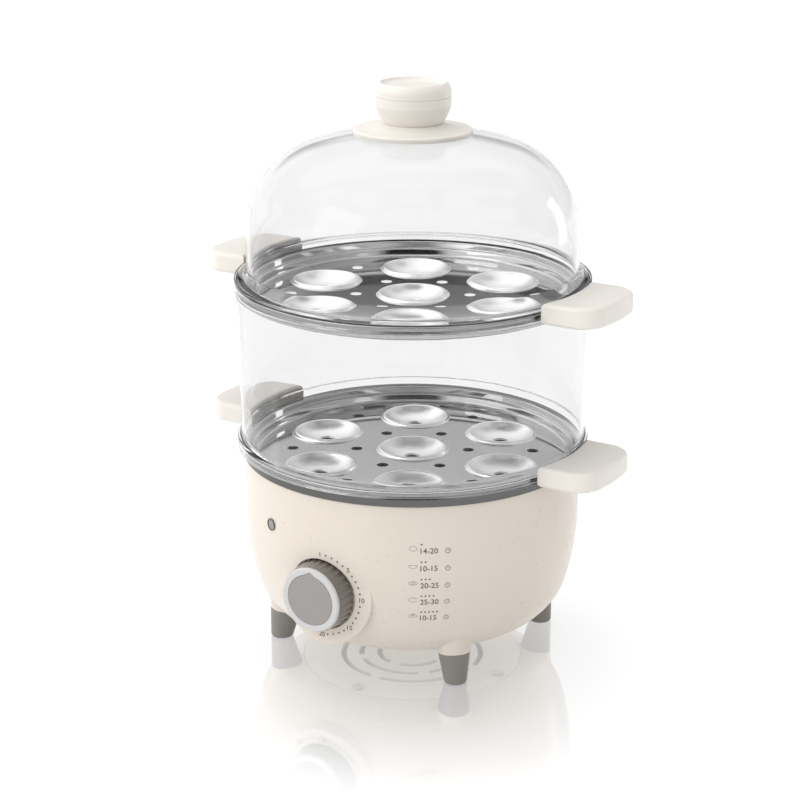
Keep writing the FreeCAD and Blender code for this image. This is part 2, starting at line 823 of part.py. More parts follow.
def tray_pan():
    """Tray sheet without its cups: floor, stepped wall, flat rim and a folded hem."""
    floor = TRAY_FLOOR_Z
    top = floor + TRAY_RIM_RISE
    hem = floor + TRAY_HEM_RISE
    return turned(
        (0, floor),
        [
            (81.8, floor),
            ((82.9, floor + 0.4), (83.5, floor + 1.4)),
            (84.0, floor + 3.5),
            ((84.5, floor + 4.1), (85.2, floor + 4.3)),
            (85.7, floor + 7.0),
            ((86.0, floor + 7.6), (86.7, top)),
            (TRAY_RIM_R - 0.7, top),
            ((TRAY_RIM_R - 0.2, top - 0.2), (TRAY_RIM_R, top - 0.7)),
            (TRAY_RIM_R, hem),
            (TRAY_HEM_R, hem),
            (TRAY_HEM_R, top - TRAY_T),
            (86.9, top - TRAY_T),
            ((86.5, floor + 6.9), (86.4, floor + 6.6)),
            (85.9, floor + 3.8),
            ((85.5, floor + 3.45), (84.8, floor + 3.2)),
            (84.2, floor + 1.0),
            ((83.5, floor - 0.2), (82.0, floor - TRAY_T)),
            (0, floor - TRAY_T),
        ],
    )


def egg_tray():
    tray = tray_pan()
    centres = [vec(0, 0, 0)] + [polar(CUP_RING_R, 60 * k) for k in range(6)]
    for at in centres:
        tray = tray.cut(disc(CUP_R, TRAY_FLOOR_Z - 3, TRAY_FLOOR_Z + 3, at.x, at.y))
    cups = []
    for at in centres:
        cup = egg_cup(TRAY_FLOOR_Z)
        cup.translate(at)
        cups.append(cup)
    tray = tray.multiFuse(cups)
    for radius in STEAM_RINGS:
        for k in range(6):
            at = polar(radius, 30 + 60 * k)
            tray = tray.cut(disc(STEAM_HOLE_R, TRAY_FLOOR_Z - 3, TRAY_FLOOR_Z + 3, at.x, at.y))
    return tray


HANDLE_LOW_Z = TRAY_FLOOR_Z + HANDLE_RISE
PARTING_Z = HANDLE_LOW_Z + HANDLE_PARTING - HANDLE_RISE


def handle_outline(z):
    """Plan of the +X handle: hollow arc against the lip, straight sides, round corners, bowed end."""
    inner_x = math.sqrt(HANDLE_INNER_R**2 - HANDLE_HALF_W**2)
    corner_x = HANDLE_END_X - 0.8 - HANDLE_CORNER_R
    corner_y = HANDLE_HALF_W - HANDLE_CORNER_R
    slant = HANDLE_CORNER_R * math.sqrt(0.5)
    side_1, side_2 = vec(inner_x, -HANDLE_HALF_W, z), vec(inner_x, HANDLE_HALF_W, z)
    bend_1, bend_2 = vec(corner_x, -HANDLE_HALF_W, z), vec(corner_x, HANDLE_HALF_W, z)
    end_1 = vec(corner_x + HANDLE_CORNER_R, -corner_y, z)
    end_2 = vec(corner_x + HANDLE_CORNER_R, corner_y, z)
    edges = [
        Part.makeLine(side_1, bend_1),
        Part.Arc(bend_1, vec(corner_x + slant, -corner_y - slant, z), end_1).toShape(),
        Part.Arc(end_1, vec(HANDLE_END_X, 0, z), end_2).toShape(),
        Part.Arc(end_2, vec(corner_x + slant, corner_y + slant, z), bend_2).toShape(),
        Part.makeLine(bend_2, side_2),
        Part.Arc(side_2, vec(HANDLE_INNER_R, 0, z), side_1).toShape(),
    ]
    return Part.Face(Part.Wire(edges))


def screw_places():
    return [vec(HANDLE_SCREW_X, side * HANDLE_SCREW_Y, 0) for side in (-1, 1)]


def handle_top():
    high = HANDLE_LOW_Z + HANDLE_T
    shell = handle_outline(PARTING_Z).extrude(vec(0, 0, high - PARTING_Z))
    shell = rounded(shell, HANDLE_EDGE_R, lambda edge: edge.BoundBox.ZMin > high - 0.01)
    for at in screw_places():
        shell = shell.cut(disc(1.4, PARTING_Z - 1, PARTING_Z + 5.2, at.x, at.y))
    return shell


def handle_bottom():
    shell = handle_outline(HANDLE_LOW_Z).extrude(vec(0, 0, PARTING_Z - HANDLE_LOW_Z))
    shell = rounded(shell, HANDLE_EDGE_R, lambda edge: edge.BoundBox.ZMax < HANDLE_LOW_Z + 0.01)
    half_w = TAB_HALF_W + 0.2
    slot = block((80, TAB_END_X + 0.2), (-half_w, half_w), (PARTING_Z - TAB_T, PARTING_Z + 1))
    shell = shell.cut(slot)
    for at in screw_places():
        shell = shell.cut(disc(1.6, HANDLE_LOW_Z - 1, PARTING_Z + 1, at.x, at.y))
        shell = shell.cut(disc(3.0, HANDLE_LOW_Z - 1, HANDLE_LOW_Z + 1.8, at.x, at.y))
    return shell


def handle_tab():
    """Steel tongue welded to the tray's hem and clamped between the handle's two shells."""
    tab = block((60, TAB_END_X), (-TAB_HALF_W, TAB_HALF_W), (PARTING_Z - TAB_T, PARTING_Z))
    tab = tab.cut(disc(TRAY_RIM_R, 50, 200))
    for at in screw_places():
        tab = tab.cut(disc(1.6, 50, 200, at.x, at.y))
    return tab


def handle_screws():
    """The two screws of the +X handle, entering from below."""
    screws = []
    for at in screw_places():
        head = disc(2.8, HANDLE_LOW_Z + 0.2, HANDLE_LOW_Z + 1.8, at.x, at.y)
        shank = disc(1.4, HANDLE_LOW_Z + 1.8, PARTING_Z + 5, at.x, at.y)
        screws.append(fuse(head, shank))
    return Part.makeCompound(screws)


def tray_set(prefix, rise):
    """Saves one tray with its two handles, rise above the lower tray."""
    save(f"{prefix}_egg_tray", lifted(egg_tray(), rise))
    screws = []
    for side, turn in (("right", 0), ("left", 180)):
        save(f"{prefix}_tab_{side}", lifted(turned_about(handle_tab(), turn), rise))
        save(f"{prefix}_handle_{side}_top", lifted(turned_about(handle_top(), turn), rise))
        save(f"{prefix}_handle_{side}_bottom", lifted(turned_about(handle_bottom(), turn), rise))
        screws += lifted(turned_about(handle_screws(), turn), rise).Solids
    save(f"{prefix}_handle_screws", Part.makeCompound(screws))


# ---- Clear ring, dome and lid knob ---------------------------------------------------------------


def lip_notches(seat_z):
    """Gaps in the lapping skirt where the tray's tabs pass out to the handles."""
    low = seat_z - LIP_DROP - 1
    return block((-100, 100), (-LIP_NOTCH_HALF_W, LIP_NOTCH_HALF_W), (low, seat_z - 0.4)).cut(
        disc(LIP_INNER_R - 0.1, low - 1, seat_z + 1)
    )


def clear_ring():
    """Slightly flared wall, with a lapping lip below and an inward bead above for the upper tray."""
    seat = TRAY_FLOOR_Z + TRAY_RIM_RISE
    top = seat + TIER_PITCH - (TRAY_RIM_RISE - TRAY_HEM_RISE)
    inner_bottom = RING_BOTTOM_R - CLEAR_T
    inner_top = RING_TOP_R - CLEAR_T
    ring = turned(
        (inner_bottom, seat),
        [
            (LIP_INNER_R, seat),
            (LIP_INNER_R, seat - LIP_DROP),
            (LIP_R - 0.5, seat - LIP_DROP),
            ((LIP_R - 0.15, seat - LIP_DROP + 0.15), (LIP_R, seat - LIP_DROP + 0.5)),
            (LIP_R, seat + 2.6),
            ((LIP_R - 0.3, seat + 3.3), (LIP_R - 1.0, seat + 3.6)),
            ((RING_BOTTOM_R + 0.4, seat + 4.3), (RING_BOTTOM_R, seat + 6.0)),
            (RING_TOP_R, top - 0.6),
            ((RING_TOP_R - 0.18, top - 0.18), (RING_TOP_R - 0.6, top)),
            (inner_top - 1.4, top),
            (inner_top - 1.4, top - 1.6),
            ((inner_top - 0.4, top - 2.2), (inner_top, top - 3.6)),
            (inner_bottom, seat + 6.0),
        ],
    )
    return ring.cut(lip_notches(seat))


def crown_geometry(inset):
    """Centres and joint of the shoulder and crown arcs, moved in by inset."""
    shoulder_r = SHOULDER_R - inset
    crown_r = CROWN_R - inset
    shoulder_x = DOME_R - SHOULDER_R
    joint = math.acos(shoulder_x / (CROWN_R - SHOULDER_R))
    crown_z = SHOULDER_Z - (CROWN_R - SHOULDER_R) * math.sin(joint)

    def on_shoulder(angle):
        return (shoulder_x + shoulder_r * math.cos(angle), SHOULDER_Z + shoulder_r * math.sin(angle))

    def on_crown(angle):
        return (crown_r * math.cos(angle), crown_z + crown_r * math.sin(angle))

    return on_shoulder, on_crown, joint


def crown_steps(inset):
    """Steps from the top of the dome's wall over the shoulder to the axis."""
    on_shoulder, on_crown, joint = crown_geometry(inset)
    half_turn = math.pi / 2
    return [
        (on_shoulder(joint / 2), on_shoulder(joint)),
        (on_crown((joint + half_turn) / 2), on_crown(half_turn)),
    ]


def dome_lid():
    seat = TRAY_FLOOR_Z + TRAY_RIM_RISE + TIER_PITCH
    flare_z = seat + 9.5
    slant = DOME_FLARE_R * (1 - math.sqrt(0.5))
    lip_top_r = DOME_R + DOME_FLARE_R
    lip_top_z = flare_z - DOME_FLARE_R
    inner_r = DOME_R - CLEAR_T
    inner_crown = crown_steps(CLEAR_T)
    dome = turned(
        (0, crown_steps(0)[-1][1][1]),
        [
            *reversed_steps((DOME_R, SHOULDER_Z), crown_steps(0)),
            (DOME_R, flare_z),
            ((DOME_R + slant, lip_top_z + slant), (lip_top_r - 0.2, lip_top_z)),
            ((LIP_R - 0.15, lip_top_z - 0.25), (LIP_R, lip_top_z - 0.8)),
            (LIP_R, seat - LIP_DROP + 0.5),
            ((LIP_R - 0.15, seat - LIP_DROP + 0.15), (LIP_R - 0.5, seat - LIP_DROP)),
            (LIP_INNER_R, seat - LIP_DROP),
            (LIP_INNER_R, seat),
            (88.2, seat),
            (88.2, seat + 2.5),
            ((86.2, seat + 4.5), (inner_r, flare_z - 1.5)),
            (inner_r, SHOULDER_Z),
            *inner_crown,
        ],
    )
    dome = dome.cut(lip_notches(seat))
    return dome.cut(disc(3.2, 260, 290))


def dome_outer_solid():
    return turned(
        (0, 200), [(DOME_R, 200), (DOME_R, SHOULDER_Z), *crown_steps(0)]
    )


def knob_flange():
    flange = turned(
        (0, 270),
        [
            (FLANGE_R, 270),
            (FLANGE_R, FLANGE_TOP_Z - 1.2),
            ((FLANGE_R - 0.3, FLANGE_TOP_Z - 0.35), (FLANGE_R - 1.2, FLANGE_TOP_Z)),
            ((22.0, FLANGE_TOP_Z + 0.8), (GRIP_FOOT_R + 0.4, GRIP_Z)),
            (0, GRIP_Z),
        ],
    )
    return flange.cut(dome_outer_solid()).cut(disc(2.6, 260, 290))


def knob_grip():
    grip = turned(
        (0, GRIP_Z),
        [
            (GRIP_FOOT_R, GRIP_Z),
            ((GRIP_R - 1.6, GRIP_Z + 4.6), (GRIP_R, GRIP_BELLY_Z)),
            (GRIP_R, GRIP_PARTING_Z - 0.4),
            (GRIP_R - 0.4, GRIP_PARTING_Z),
            (0, GRIP_PARTING_Z),
        ],
    )
    return grip.cut(disc(2.0, GRIP_Z - 1, GRIP_Z + 9))


def knob_cap():
    return turned(
        (0, GRIP_PARTING_Z),
        [
            (GRIP_R - 0.4, GRIP_PARTING_Z),
            (GRIP_R, GRIP_PARTING_Z + 0.4),
            (GRIP_R - 0.1, GRIP_PARTING_Z + 1.5),
            ((GRIP_R - 0.8, GRIP_TOP_Z - 1.8), (GRIP_R - 2.2, GRIP_TOP_Z - 0.2)),
            ((GRIP_R - 2.6, GRIP_TOP_Z), (GRIP_R - 3.0, GRIP_TOP_Z - 0.2)),
            ((GRIP_R - 4.2, GRIP_TOP_Z - 1.3), (GRIP_R - 6.5, GRIP_TOP_Z - 1.7)),
            (0, GRIP_TOP_Z - 1.9),
        ],
    )


def knob_washer():
    inner_top = crown_steps(CLEAR_T)[-1][1][1]
    washer = tube(10, 2.6, inner_top - 2.5, inner_top + 1)
    inner_r = DOME_R - CLEAR_T
    inside = turned((0, 200), [(inner_r, 200), (inner_r, SHOULDER_Z), *crown_steps(CLEAR_T)])
    return washer.common(inside)


def knob_screw():
    inner_top = crown_steps(CLEAR_T)[-1][1][1]
    head_top = inner_top - 2.5
    head = disc(4.5, head_top - 2.6, head_top)
    head = rounded(head, 1.2, lambda edge: edge.BoundBox.ZMax < head_top - 2.5)
    slot = block((-5, 5), (-0.6, 0.6), (head_top - 4, head_top - 1.6))
    return fuse(head.cut(slot), disc(2.0, head_top, GRIP_Z + 8))


# ---- Write every piece ---------------------------------------------------------------------------


def main():
    os.makedirs("parts", exist_ok=True)
    save("base_housing", housing())
    for name, corner in CORNERS.items():
        save(f"foot_{name}", boot(*corner))
    for name, make in (
        ("bottom_cover", bottom_cover),
        ("bottom_cover_screws", cover_screws),
        ("heating_pan", heating_pan),
        ("pan_seal", pan_seal),
        ("heater_plate", heater_plate),
        ("heater_element", heater_element),
        ("element_insulators", element_insulators),
        ("pan_studs", pan_studs),
        ("pan_nuts", pan_nuts),
        ("pan_bracket", pan_bracket),
        ("pan_bracket_screws", bracket_screws),
        ("thermostat", thermostat),
        ("thermostat_bracket", thermostat_bracket),
        ("thermostat_screws", thermostat_screws),
        ("thermal_fuse", thermal_fuse),
        ("thermal_fuse_clip", fuse_clip),
        ("timer_plate", timer_plate),
        ("timer_screws", timer_screws),
        ("timer_case", timer_case),
        ("timer_bell", timer_bell),
        ("timer_shaft", timer_shaft),
        ("dial_knob", dial_knob),
        ("dial_ring", dial_ring),
        ("dial_cap", dial_cap),
        ("indicator_bezel", indicator_bezel),
        ("indicator_lens", indicator_lens),
        ("indicator_lamp", indicator_lamp),
        ("terminal_block", terminal_block),
        ("cord_gland", cord_gland),
        ("internal_wires", internal_wires),
        ("clear_ring", clear_ring),
        ("dome_lid", dome_lid),
        ("lid_knob_flange", knob_flange),
        ("lid_knob_grip", knob_grip),
        ("lid_knob_cap", knob_cap),
        ("lid_knob_washer", knob_washer),
        ("lid_knob_screw", knob_screw),
    ):
        save(name, make())
    tray_set("lower", 0)
    tray_set("upper", TIER_PITCH)


main()
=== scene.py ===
"""Two-tier egg cooker: the finish of every part, its printed markings, a white studio and the camera.

Metres, in the same frame as the CAD model. Sizes inside a piece are written in millimetres as n * MM.
"""

import json
import math

import bmesh
import bpy
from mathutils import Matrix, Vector


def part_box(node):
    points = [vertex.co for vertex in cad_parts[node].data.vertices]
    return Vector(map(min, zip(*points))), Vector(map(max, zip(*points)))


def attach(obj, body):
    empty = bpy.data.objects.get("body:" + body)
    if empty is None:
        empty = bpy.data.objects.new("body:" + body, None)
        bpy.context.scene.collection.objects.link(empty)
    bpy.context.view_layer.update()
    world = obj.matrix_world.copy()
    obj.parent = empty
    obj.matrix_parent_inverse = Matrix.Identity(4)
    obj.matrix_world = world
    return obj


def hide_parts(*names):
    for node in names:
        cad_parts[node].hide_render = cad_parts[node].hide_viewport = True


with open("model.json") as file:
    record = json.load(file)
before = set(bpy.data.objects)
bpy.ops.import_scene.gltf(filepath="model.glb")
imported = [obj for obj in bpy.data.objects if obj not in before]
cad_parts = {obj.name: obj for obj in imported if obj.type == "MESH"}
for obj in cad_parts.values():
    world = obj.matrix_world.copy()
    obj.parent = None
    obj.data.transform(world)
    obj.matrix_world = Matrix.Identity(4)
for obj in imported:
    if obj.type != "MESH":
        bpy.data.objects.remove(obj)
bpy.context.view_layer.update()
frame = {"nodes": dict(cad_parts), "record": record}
NODES = frame["nodes"]
MM = 0.001

# ---- Sizes read from the frame -------------------------------------------------------------------

RING_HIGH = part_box("clear_ring")[1]
DIAL_LOW, DIAL_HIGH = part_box("dial_knob")
DIAL_Z = (DIAL_LOW.z + DIAL_HIGH.z) / 2

TRAY_RIM_RISE = 7.9 * MM
LOWER_FLOOR_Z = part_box("lower_egg_tray")[1].z - TRAY_RIM_RISE
UPPER_FLOOR_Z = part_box("upper_egg_tray")[1].z - TRAY_RIM_RISE

# Housing wall: upright, then a long side curve that starts at this height.
HOUSING_R = 89.6 * MM
SIDE_CURVE_TOP_Z = 75.9 * MM
SIDE_CURVE_R = 144.7 * MM
PAD_FACE_R = 88.6 * MM


# ---- Materials -----------------------------------------------------------------------------------

# Noise scales, in features per metre.
TONE_SCALE = 35.0
GLOSS_SCALE = 260.0
GRAIN_SCALE = 2200.0
STEEL_GLOSS_SCALE = 90.0
STEEL_WAVE_SCALE = 24.0
INK_SCALE = 900.0
PAN_SPIN_SCALE = (40.0, 40.0, 1500.0)


def new_material(name, colour, roughness, **sockets):
    """Principled material; a socket is given by its name in lower case with underscores."""
    material = bpy.data.materials.new(name)
    material.use_nodes = True
    shader = material.node_tree.nodes["Principled BSDF"]
    shader.inputs["Base Color"].default_value = (*colour, 1.0)
    shader.inputs["Roughness"].default_value = roughness
    for socket, value in sockets.items():
        shader.inputs[socket.replace("_", " ").title().replace("Ior", "IOR")].default_value = value
    return material


def texture_coordinate(material, scale):
    """Object coordinates times scale, where scale is a number or an (x, y, z) stretch."""
    tree = material.node_tree
    place = tree.nodes.new("ShaderNodeTexCoord")
    mapping = tree.nodes.new("ShaderNodeMapping")
    stretch = scale if hasattr(scale, "__len__") else (scale, scale, scale)
    mapping.inputs["Scale"].default_value = stretch
    tree.links.new(place.outputs["Object"], mapping.inputs["Vector"])
    return mapping.outputs["Vector"]


def noise(material, scale, detail=3.0):
    """Noise value from about 0.3 to 0.7."""
    tree = material.node_tree
    node = tree.nodes.new("ShaderNodeTexNoise")
    node.inputs["Scale"].default_value = 1.0
    node.inputs["Detail"].default_value = detail
    tree.links.new(texture_coordinate(material, scale), node.inputs["Vector"])
    return node.outputs["Fac"]


def remap(material, value, low, high):
    """Spreads a noise value over low to high. Nearly all noise lies between 0.3 and 0.7."""
    tree = material.node_tree
    node = tree.nodes.new("ShaderNodeMapRange")
    node.inputs["From Min"].default_value = 0.3
    node.inputs["From Max"].default_value = 0.7
    node.inputs["To Min"].default_value = low
    node.inputs["To Max"].default_value = high
    tree.links.new(value, node.inputs["Value"])
    return node.outputs["Result"]


def vary_roughness(material, scale, low, high):
    """Makes the gloss uneven between two roughnesses."""
    shader = material.node_tree.nodes["Principled BSDF"]
    value = remap(material, noise(material, scale), low, high)
    material.node_tree.links.new(value, shader.inputs["Roughness"])


def vary_colour(material, scale, dark, light):
    """Mottles the base colour between two close tones."""
    tree = material.node_tree
    shader = tree.nodes["Principled BSDF"]
    mix = tree.nodes.new("ShaderNodeMix")
    mix.data_type = "RGBA"
    mix.inputs["A"].default_value = (*dark, 1.0)
    mix.inputs["B"].default_value = (*light, 1.0)
    tree.links.new(remap(material, noise(material, scale), 0.0, 1.0), mix.inputs["Factor"])
    tree.links.new(mix.outputs["Result"], shader.inputs["Base Color"])


def add_bump(material, scale, depth, detail=2.0):
    """Noise bumps of a depth in metres."""
    tree = material.node_tree
    shader = tree.nodes["Principled BSDF"]
    bump = tree.nodes.new("ShaderNodeBump")
    bump.inputs["Strength"].default_value = 1.0
    bump.inputs["Distance"].default_value = depth
    tree.links.new(noise(material, scale, detail), bump.inputs["Height"])
    tree.links.new(bump.outputs["Normal"], shader.inputs["Normal"])


def moulded_plastic(name, colour, roughness, grain=0.0008 * MM, coat=0.0):
    """Injection-moulded plastic: a faint tone drift, a fine skin and an uneven gloss."""
    material = new_material(name, colour, roughness, coat_weight=coat, coat_roughness=0.12)
    dark = [c * 0.985 for c in colour]
    light = [min(1.0, c * 1.01) for c in colour]
    vary_colour(material, TONE_SCALE, dark, light)
    vary_roughness(material, GLOSS_SCALE, roughness - 0.03, roughness + 0.03)
    add_bump(material, GRAIN_SCALE, grain)
    return material


def steel(name, colour, roughness, spread, scale=STEEL_GLOSS_SCALE, wave=0.0):
    """Polished or satin metal. wave is the depth of a faint wave left by pressing."""
    material = new_material(name, colour, roughness, metallic=1.0)
    vary_roughness(material, scale, max(0.01, roughness - spread), roughness + spread)
    if wave:
        add_bump(material, STEEL_WAVE_SCALE, wave, 0.0)
    return material


def clear_plastic(name, tint):
    """Thin wall: it bends light little, so a coat carries the gloss of the surface."""
    return new_material(
        name, tint, 0.0, transmission_weight=1.0, ior=1.17, coat_weight=0.3, coat_roughness=0.0
    )


def print_ink(name, colour):
    """Matt printing ink, a little uneven."""
    material = new_material(name, colour, 0.6)
    vary_colour(material, INK_SCALE, [c * 0.9 for c in colour], colour)
    return material


CREAM = moulded_plastic("cream_body", (0.70, 0.632, 0.555), 0.30, coat=0.15)
TRIM = moulded_plastic("cream_trim", (0.77, 0.735, 0.68), 0.38)
COVER = moulded_plastic("cover_plastic", (0.78, 0.71, 0.61), 0.5)
BOOT = moulded_plastic("boot_rubber", (0.21, 0.195, 0.178), 0.45, grain=0.002 * MM)
SEAL = moulded_plastic("seal_rubber", (0.55, 0.53, 0.50), 0.6)
MIRROR = steel("tray_steel", (0.56, 0.56, 0.56), 0.04, 0.015, wave=0.002 * MM)
PAN_INSIDE = steel("pan_steel", (0.52, 0.52, 0.515), 0.16, 0.04)
# The cups' steel is satin, and its colour is painted near white: a painted highlight.
CUP_SATIN_PAINTED_HIGHLIGHT = steel("tray_cup_steel_painted_highlight", (0.96, 0.96, 0.96), 0.30, 0.02)
# The hem's steel colour is painted darker than the tray sheet: painted shade.
HEM_PAINTED_SHADE_STEEL = steel("tray_hem_steel_painted_shade", (0.36, 0.36, 0.357), 0.10, 0.02)
# The pan rim's steel colour is painted far darker than the pan's inside: painted shade.
PAN_RIM_PAINTED_SHADE = steel("pan_rim_steel_painted_shade", (0.13, 0.13, 0.128), 0.18, 0.04, PAN_SPIN_SCALE)
CLEAR = clear_plastic("clear_plastic", (0.877, 0.878, 0.88))
DIAL_SKIRT = moulded_plastic("dial_grey", (0.135, 0.118, 0.103), 0.30, coat=1.0)
DIAL_RING = moulded_plastic("dial_ring_grey", (0.55, 0.55, 0.547), 0.24)
DIAL_CAP = moulded_plastic("dial_cap_grey", (0.29, 0.275, 0.262), 0.40)
BEZEL = moulded_plastic("lamp_grey", (0.13, 0.122, 0.115), 0.35)
LENS = new_material("lamp_lens", (0.34, 0.33, 0.31), 0.15, transmission_weight=0.2, ior=1.5)
INK = print_ink("print_grey", (0.16, 0.13, 0.12))
PALE_INK = print_ink("print_pale", (0.36, 0.32, 0.30))
ALUMINIUM = steel("heater_aluminium", (0.60, 0.60, 0.60), 0.4, 0.06)
DULL_STEEL = steel("element_steel", (0.42, 0.42, 0.42), 0.32, 0.06)
ZINC = steel("fastener_steel", (0.55, 0.55, 0.54), 0.28, 0.05)
CERAMIC = moulded_plastic("ceramic_white", (0.80, 0.79, 0.75), 0.5)
TIMER_BLACK = moulded_plastic("timer_plastic", (0.03, 0.03, 0.03), 0.5)
WIRE = moulded_plastic("wire_insulation", (0.66, 0.64, 0.60), 0.5)
NEON = new_material("lamp_glass", (0.80, 0.50, 0.35), 0.1, transmission_weight=0.5)

FINISHES = {
    "cream_body": CREAM,
    "cream_trim": TRIM,
    "cover_plastic": COVER,
    "foot_rubber": BOOT,
    "seal_rubber": SEAL,
    "pan_steel": PAN_RIM_PAINTED_SHADE,
    "tray_steel": MIRROR,
    "clear_plastic": CLEAR,
    "dial_grey": DIAL_SKIRT,
    "dial_ring_grey": DIAL_RING,
    "dial_cap_grey": DIAL_CAP,
    "lamp_grey": BEZEL,
    "lamp_lens": LENS,
    "lamp_glass": NEON,
    "heater_aluminium": ALUMINIUM,
    "element_steel": DULL_STEEL,
    "fastener_steel": ZINC,
    "ceramic_white": CERAMIC,
    "timer_plastic": TIMER_BLACK,
    "wire_insulation": WIRE,
}

for subpart in frame["record"]["subparts"]:
    node = NODES[subpart["node"]]
    node.data.materials.clear()
    node.data.materials.append(FINISHES[subpart["material_slot"]])

# The pan's rolled rim is a little rougher than its inside, and its steel colour is painted far darker:
# painted shade.
PAN = NODES["heating_pan"]
PAN_RIM_INNER_R = 87.5 * MM
PAN.data.materials.append(PAN_INSIDE)
for polygon in PAN.data.polygons:
    centre = PAN.matrix_world @ polygon.center
    if math.hypot(centre.x, centre.y) < PAN_RIM_INNER_R:
        polygon.material_index = 1


# ---- Mesh helpers --------------------------------------------------------------------------------

TURN_SEGMENTS = 240
ARC_STEP = math.radians(5)
ON_AXIS = 1e-7


def polar(radius, degrees):
    """Flat point at a radius and an angle."""
    return radius * math.cos(math.radians(degrees)), radius * math.sin(math.radians(degrees))


def arc_through(start, middle, end):
    """Points after start, along the circle through three (r, z) points, to end."""
    (ax, ay), (bx, by), (cx, cy) = start, middle, end
    d = 2 * (ax * (by - cy) + bx * (cy - ay) + cx * (ay - by))
    a2, b2, c2 = ax * ax + ay * ay, bx * bx + by * by, cx * cx + cy * cy
    ux = (a2 * (by - cy) + b2 * (cy - ay) + c2 * (ay - by)) / d
    uy = (a2 * (cx - bx) + b2 * (ax - cx) + c2 * (bx - ax)) / d
    first = math.atan2(ay - uy, ax - ux)
    last = math.atan2(cy - uy, cx - ux)
    turn = last - first
    if (d > 0) != (turn > 0):
        turn += math.copysign(2 * math.pi, d)
    radius = math.hypot(ax - ux, ay - uy)
    count = max(2, math.ceil(abs(turn) / ARC_STEP))
    angles = [first + turn * (k + 1) / count for k in range(count)]
    return [(ux + radius * math.cos(t), uy + radius * math.sin(t)) for t in angles]


def profile(start, steps):
    """(r, z) points from start. A step is an end point, or (middle, end) for an arc."""
    points = [start]
    for step in steps:
        if isinstance(step[0], tuple):
            points.extend(arc_through(points[-1], step[0], step[1]))
        else:
            points.append(step)
    return points


def turn_profile(mesh, points, centre=(0.0, 0.0), segments=TURN_SEGMENTS, closed=True):
    """Adds the surface that (r, z) points sweep about an upright axis. r = 0 makes a pole."""
    rings = []
    for r, z in points:
        if r < ON_AXIS:
            rings.append([mesh.verts.new((centre[0], centre[1], z))] * segments)
            continue
        ring = []
        for k in range(segments):
            t = 2 * math.pi * k / segments
            x, y = centre[0] + r * math.cos(t), centre[1] + r * math.sin(t)
            ring.append(mesh.verts.new((x, y, z)))
        rings.append(ring)
    pairs = list(zip(rings, rings[1:]))
    if closed:
        pairs.append((rings[-1], rings[0]))
    for low, high in pairs:
        if low[0] is low[1] and high[0] is high[1]:
            continue
        for k in range(segments):
            n = (k + 1) % segments
            corners = [low[k], low[n], high[n], high[k]]
            mesh.faces.new(list(dict.fromkeys(corners)))


def fill_between(mesh, z, outer_r, holes, up):
    """Adds a flat disc at z with round holes, each (x, y, radius, points)."""
    edges = []
    for x, y, radius, count in [(0.0, 0.0, outer_r, TURN_SEGMENTS), *holes]:
        ring = []
        for k in range(count):
            t = 2 * math.pi * k / count
            ring.append(mesh.verts.new((x + radius * math.cos(t), y + radius * math.sin(t), z)))
        for k in range(count):
            edges.append(mesh.edges.new((ring[k], ring[(k + 1) % count])))
    made = bmesh.ops.triangle_fill(mesh, edges=edges, use_beauty=True, normal=(0, 0, 1))
    for face in [f for f in made["geom"] if isinstance(f, bmesh.types.BMFace)]:
        face.normal_update()
        if (face.normal.z > 0) != up:
            face.normal_flip()


def finish_piece(mesh, name, material, body, replaced=(), sharp=30.0, outward=True):
    """Turns a bmesh into a smooth piece that rides on a body and stands for its CAD nodes."""
    if outward:
        bmesh.ops.recalc_face_normals(mesh, faces=mesh.faces)
    data = bpy.data.meshes.new(name)
    mesh.to_mesh(data)
    mesh.free()
    data.shade_smooth()
    data.set_sharp_from_angle(angle=math.radians(sharp))
    data.materials.append(material)
    piece = bpy.data.objects.new(name, data)
    bpy.context.scene.collection.objects.link(piece)
    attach(piece, body)
    if replaced:
        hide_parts(*replaced)
    return piece


def scaled(points):
    """Flat points in millimetres as metres."""
    return [(a * MM, b * MM) for a, b in points]


# ---- Steel egg trays -----------------------------------------------------------------------------

# Millimetres; heights are above the tray floor.
CUP_RING_R = 55.0
CUP_R = 18.8
CUP_FILLET = 0.7
CUP_SEGMENTS = 96
STEAM_HOLE_R = 3.0
STEAM_RING_RADII = (30.0, 64.4)
STEAM_SEGMENTS = 40
TRAY_T = 0.7
FLOOR_EDGE_R = 81.8
HEM_R = 90.0
HEM_TOP = 7.6
# Material slots of the tray sheet: the cups' painted highlight and the hem's painted shade.
CUP_PAINTED_HIGHLIGHT_SLOT, HEM_PAINTED_SHADE_SLOT = 1, 2


def cup_profile():
    """Bead, bowl and hole edge of one cup above the tray floor, closed by its underside."""
    top = profile(
        (CUP_R + CUP_FILLET, 0.0),
        [
            ((CUP_R + 0.18, 0.22), (CUP_R - 0.12, 0.62)),
            ((CUP_R - 0.62, 1.28), (CUP_R - 1.5, 1.5)),
            ((CUP_R - 2.3, 1.3), (CUP_R - 2.9, 0.75)),
            ((11.0, -2.4), (4.4, -3.72)),
            ((4.15, -3.85), (4.05, -4.1)),
        ],
    )
    under = [(4.2, -3.8 - TRAY_T)]
    under += [(r - 0.1, z - TRAY_T) for r, z in reversed(top[:-3])]
    return scaled([*top, *under])


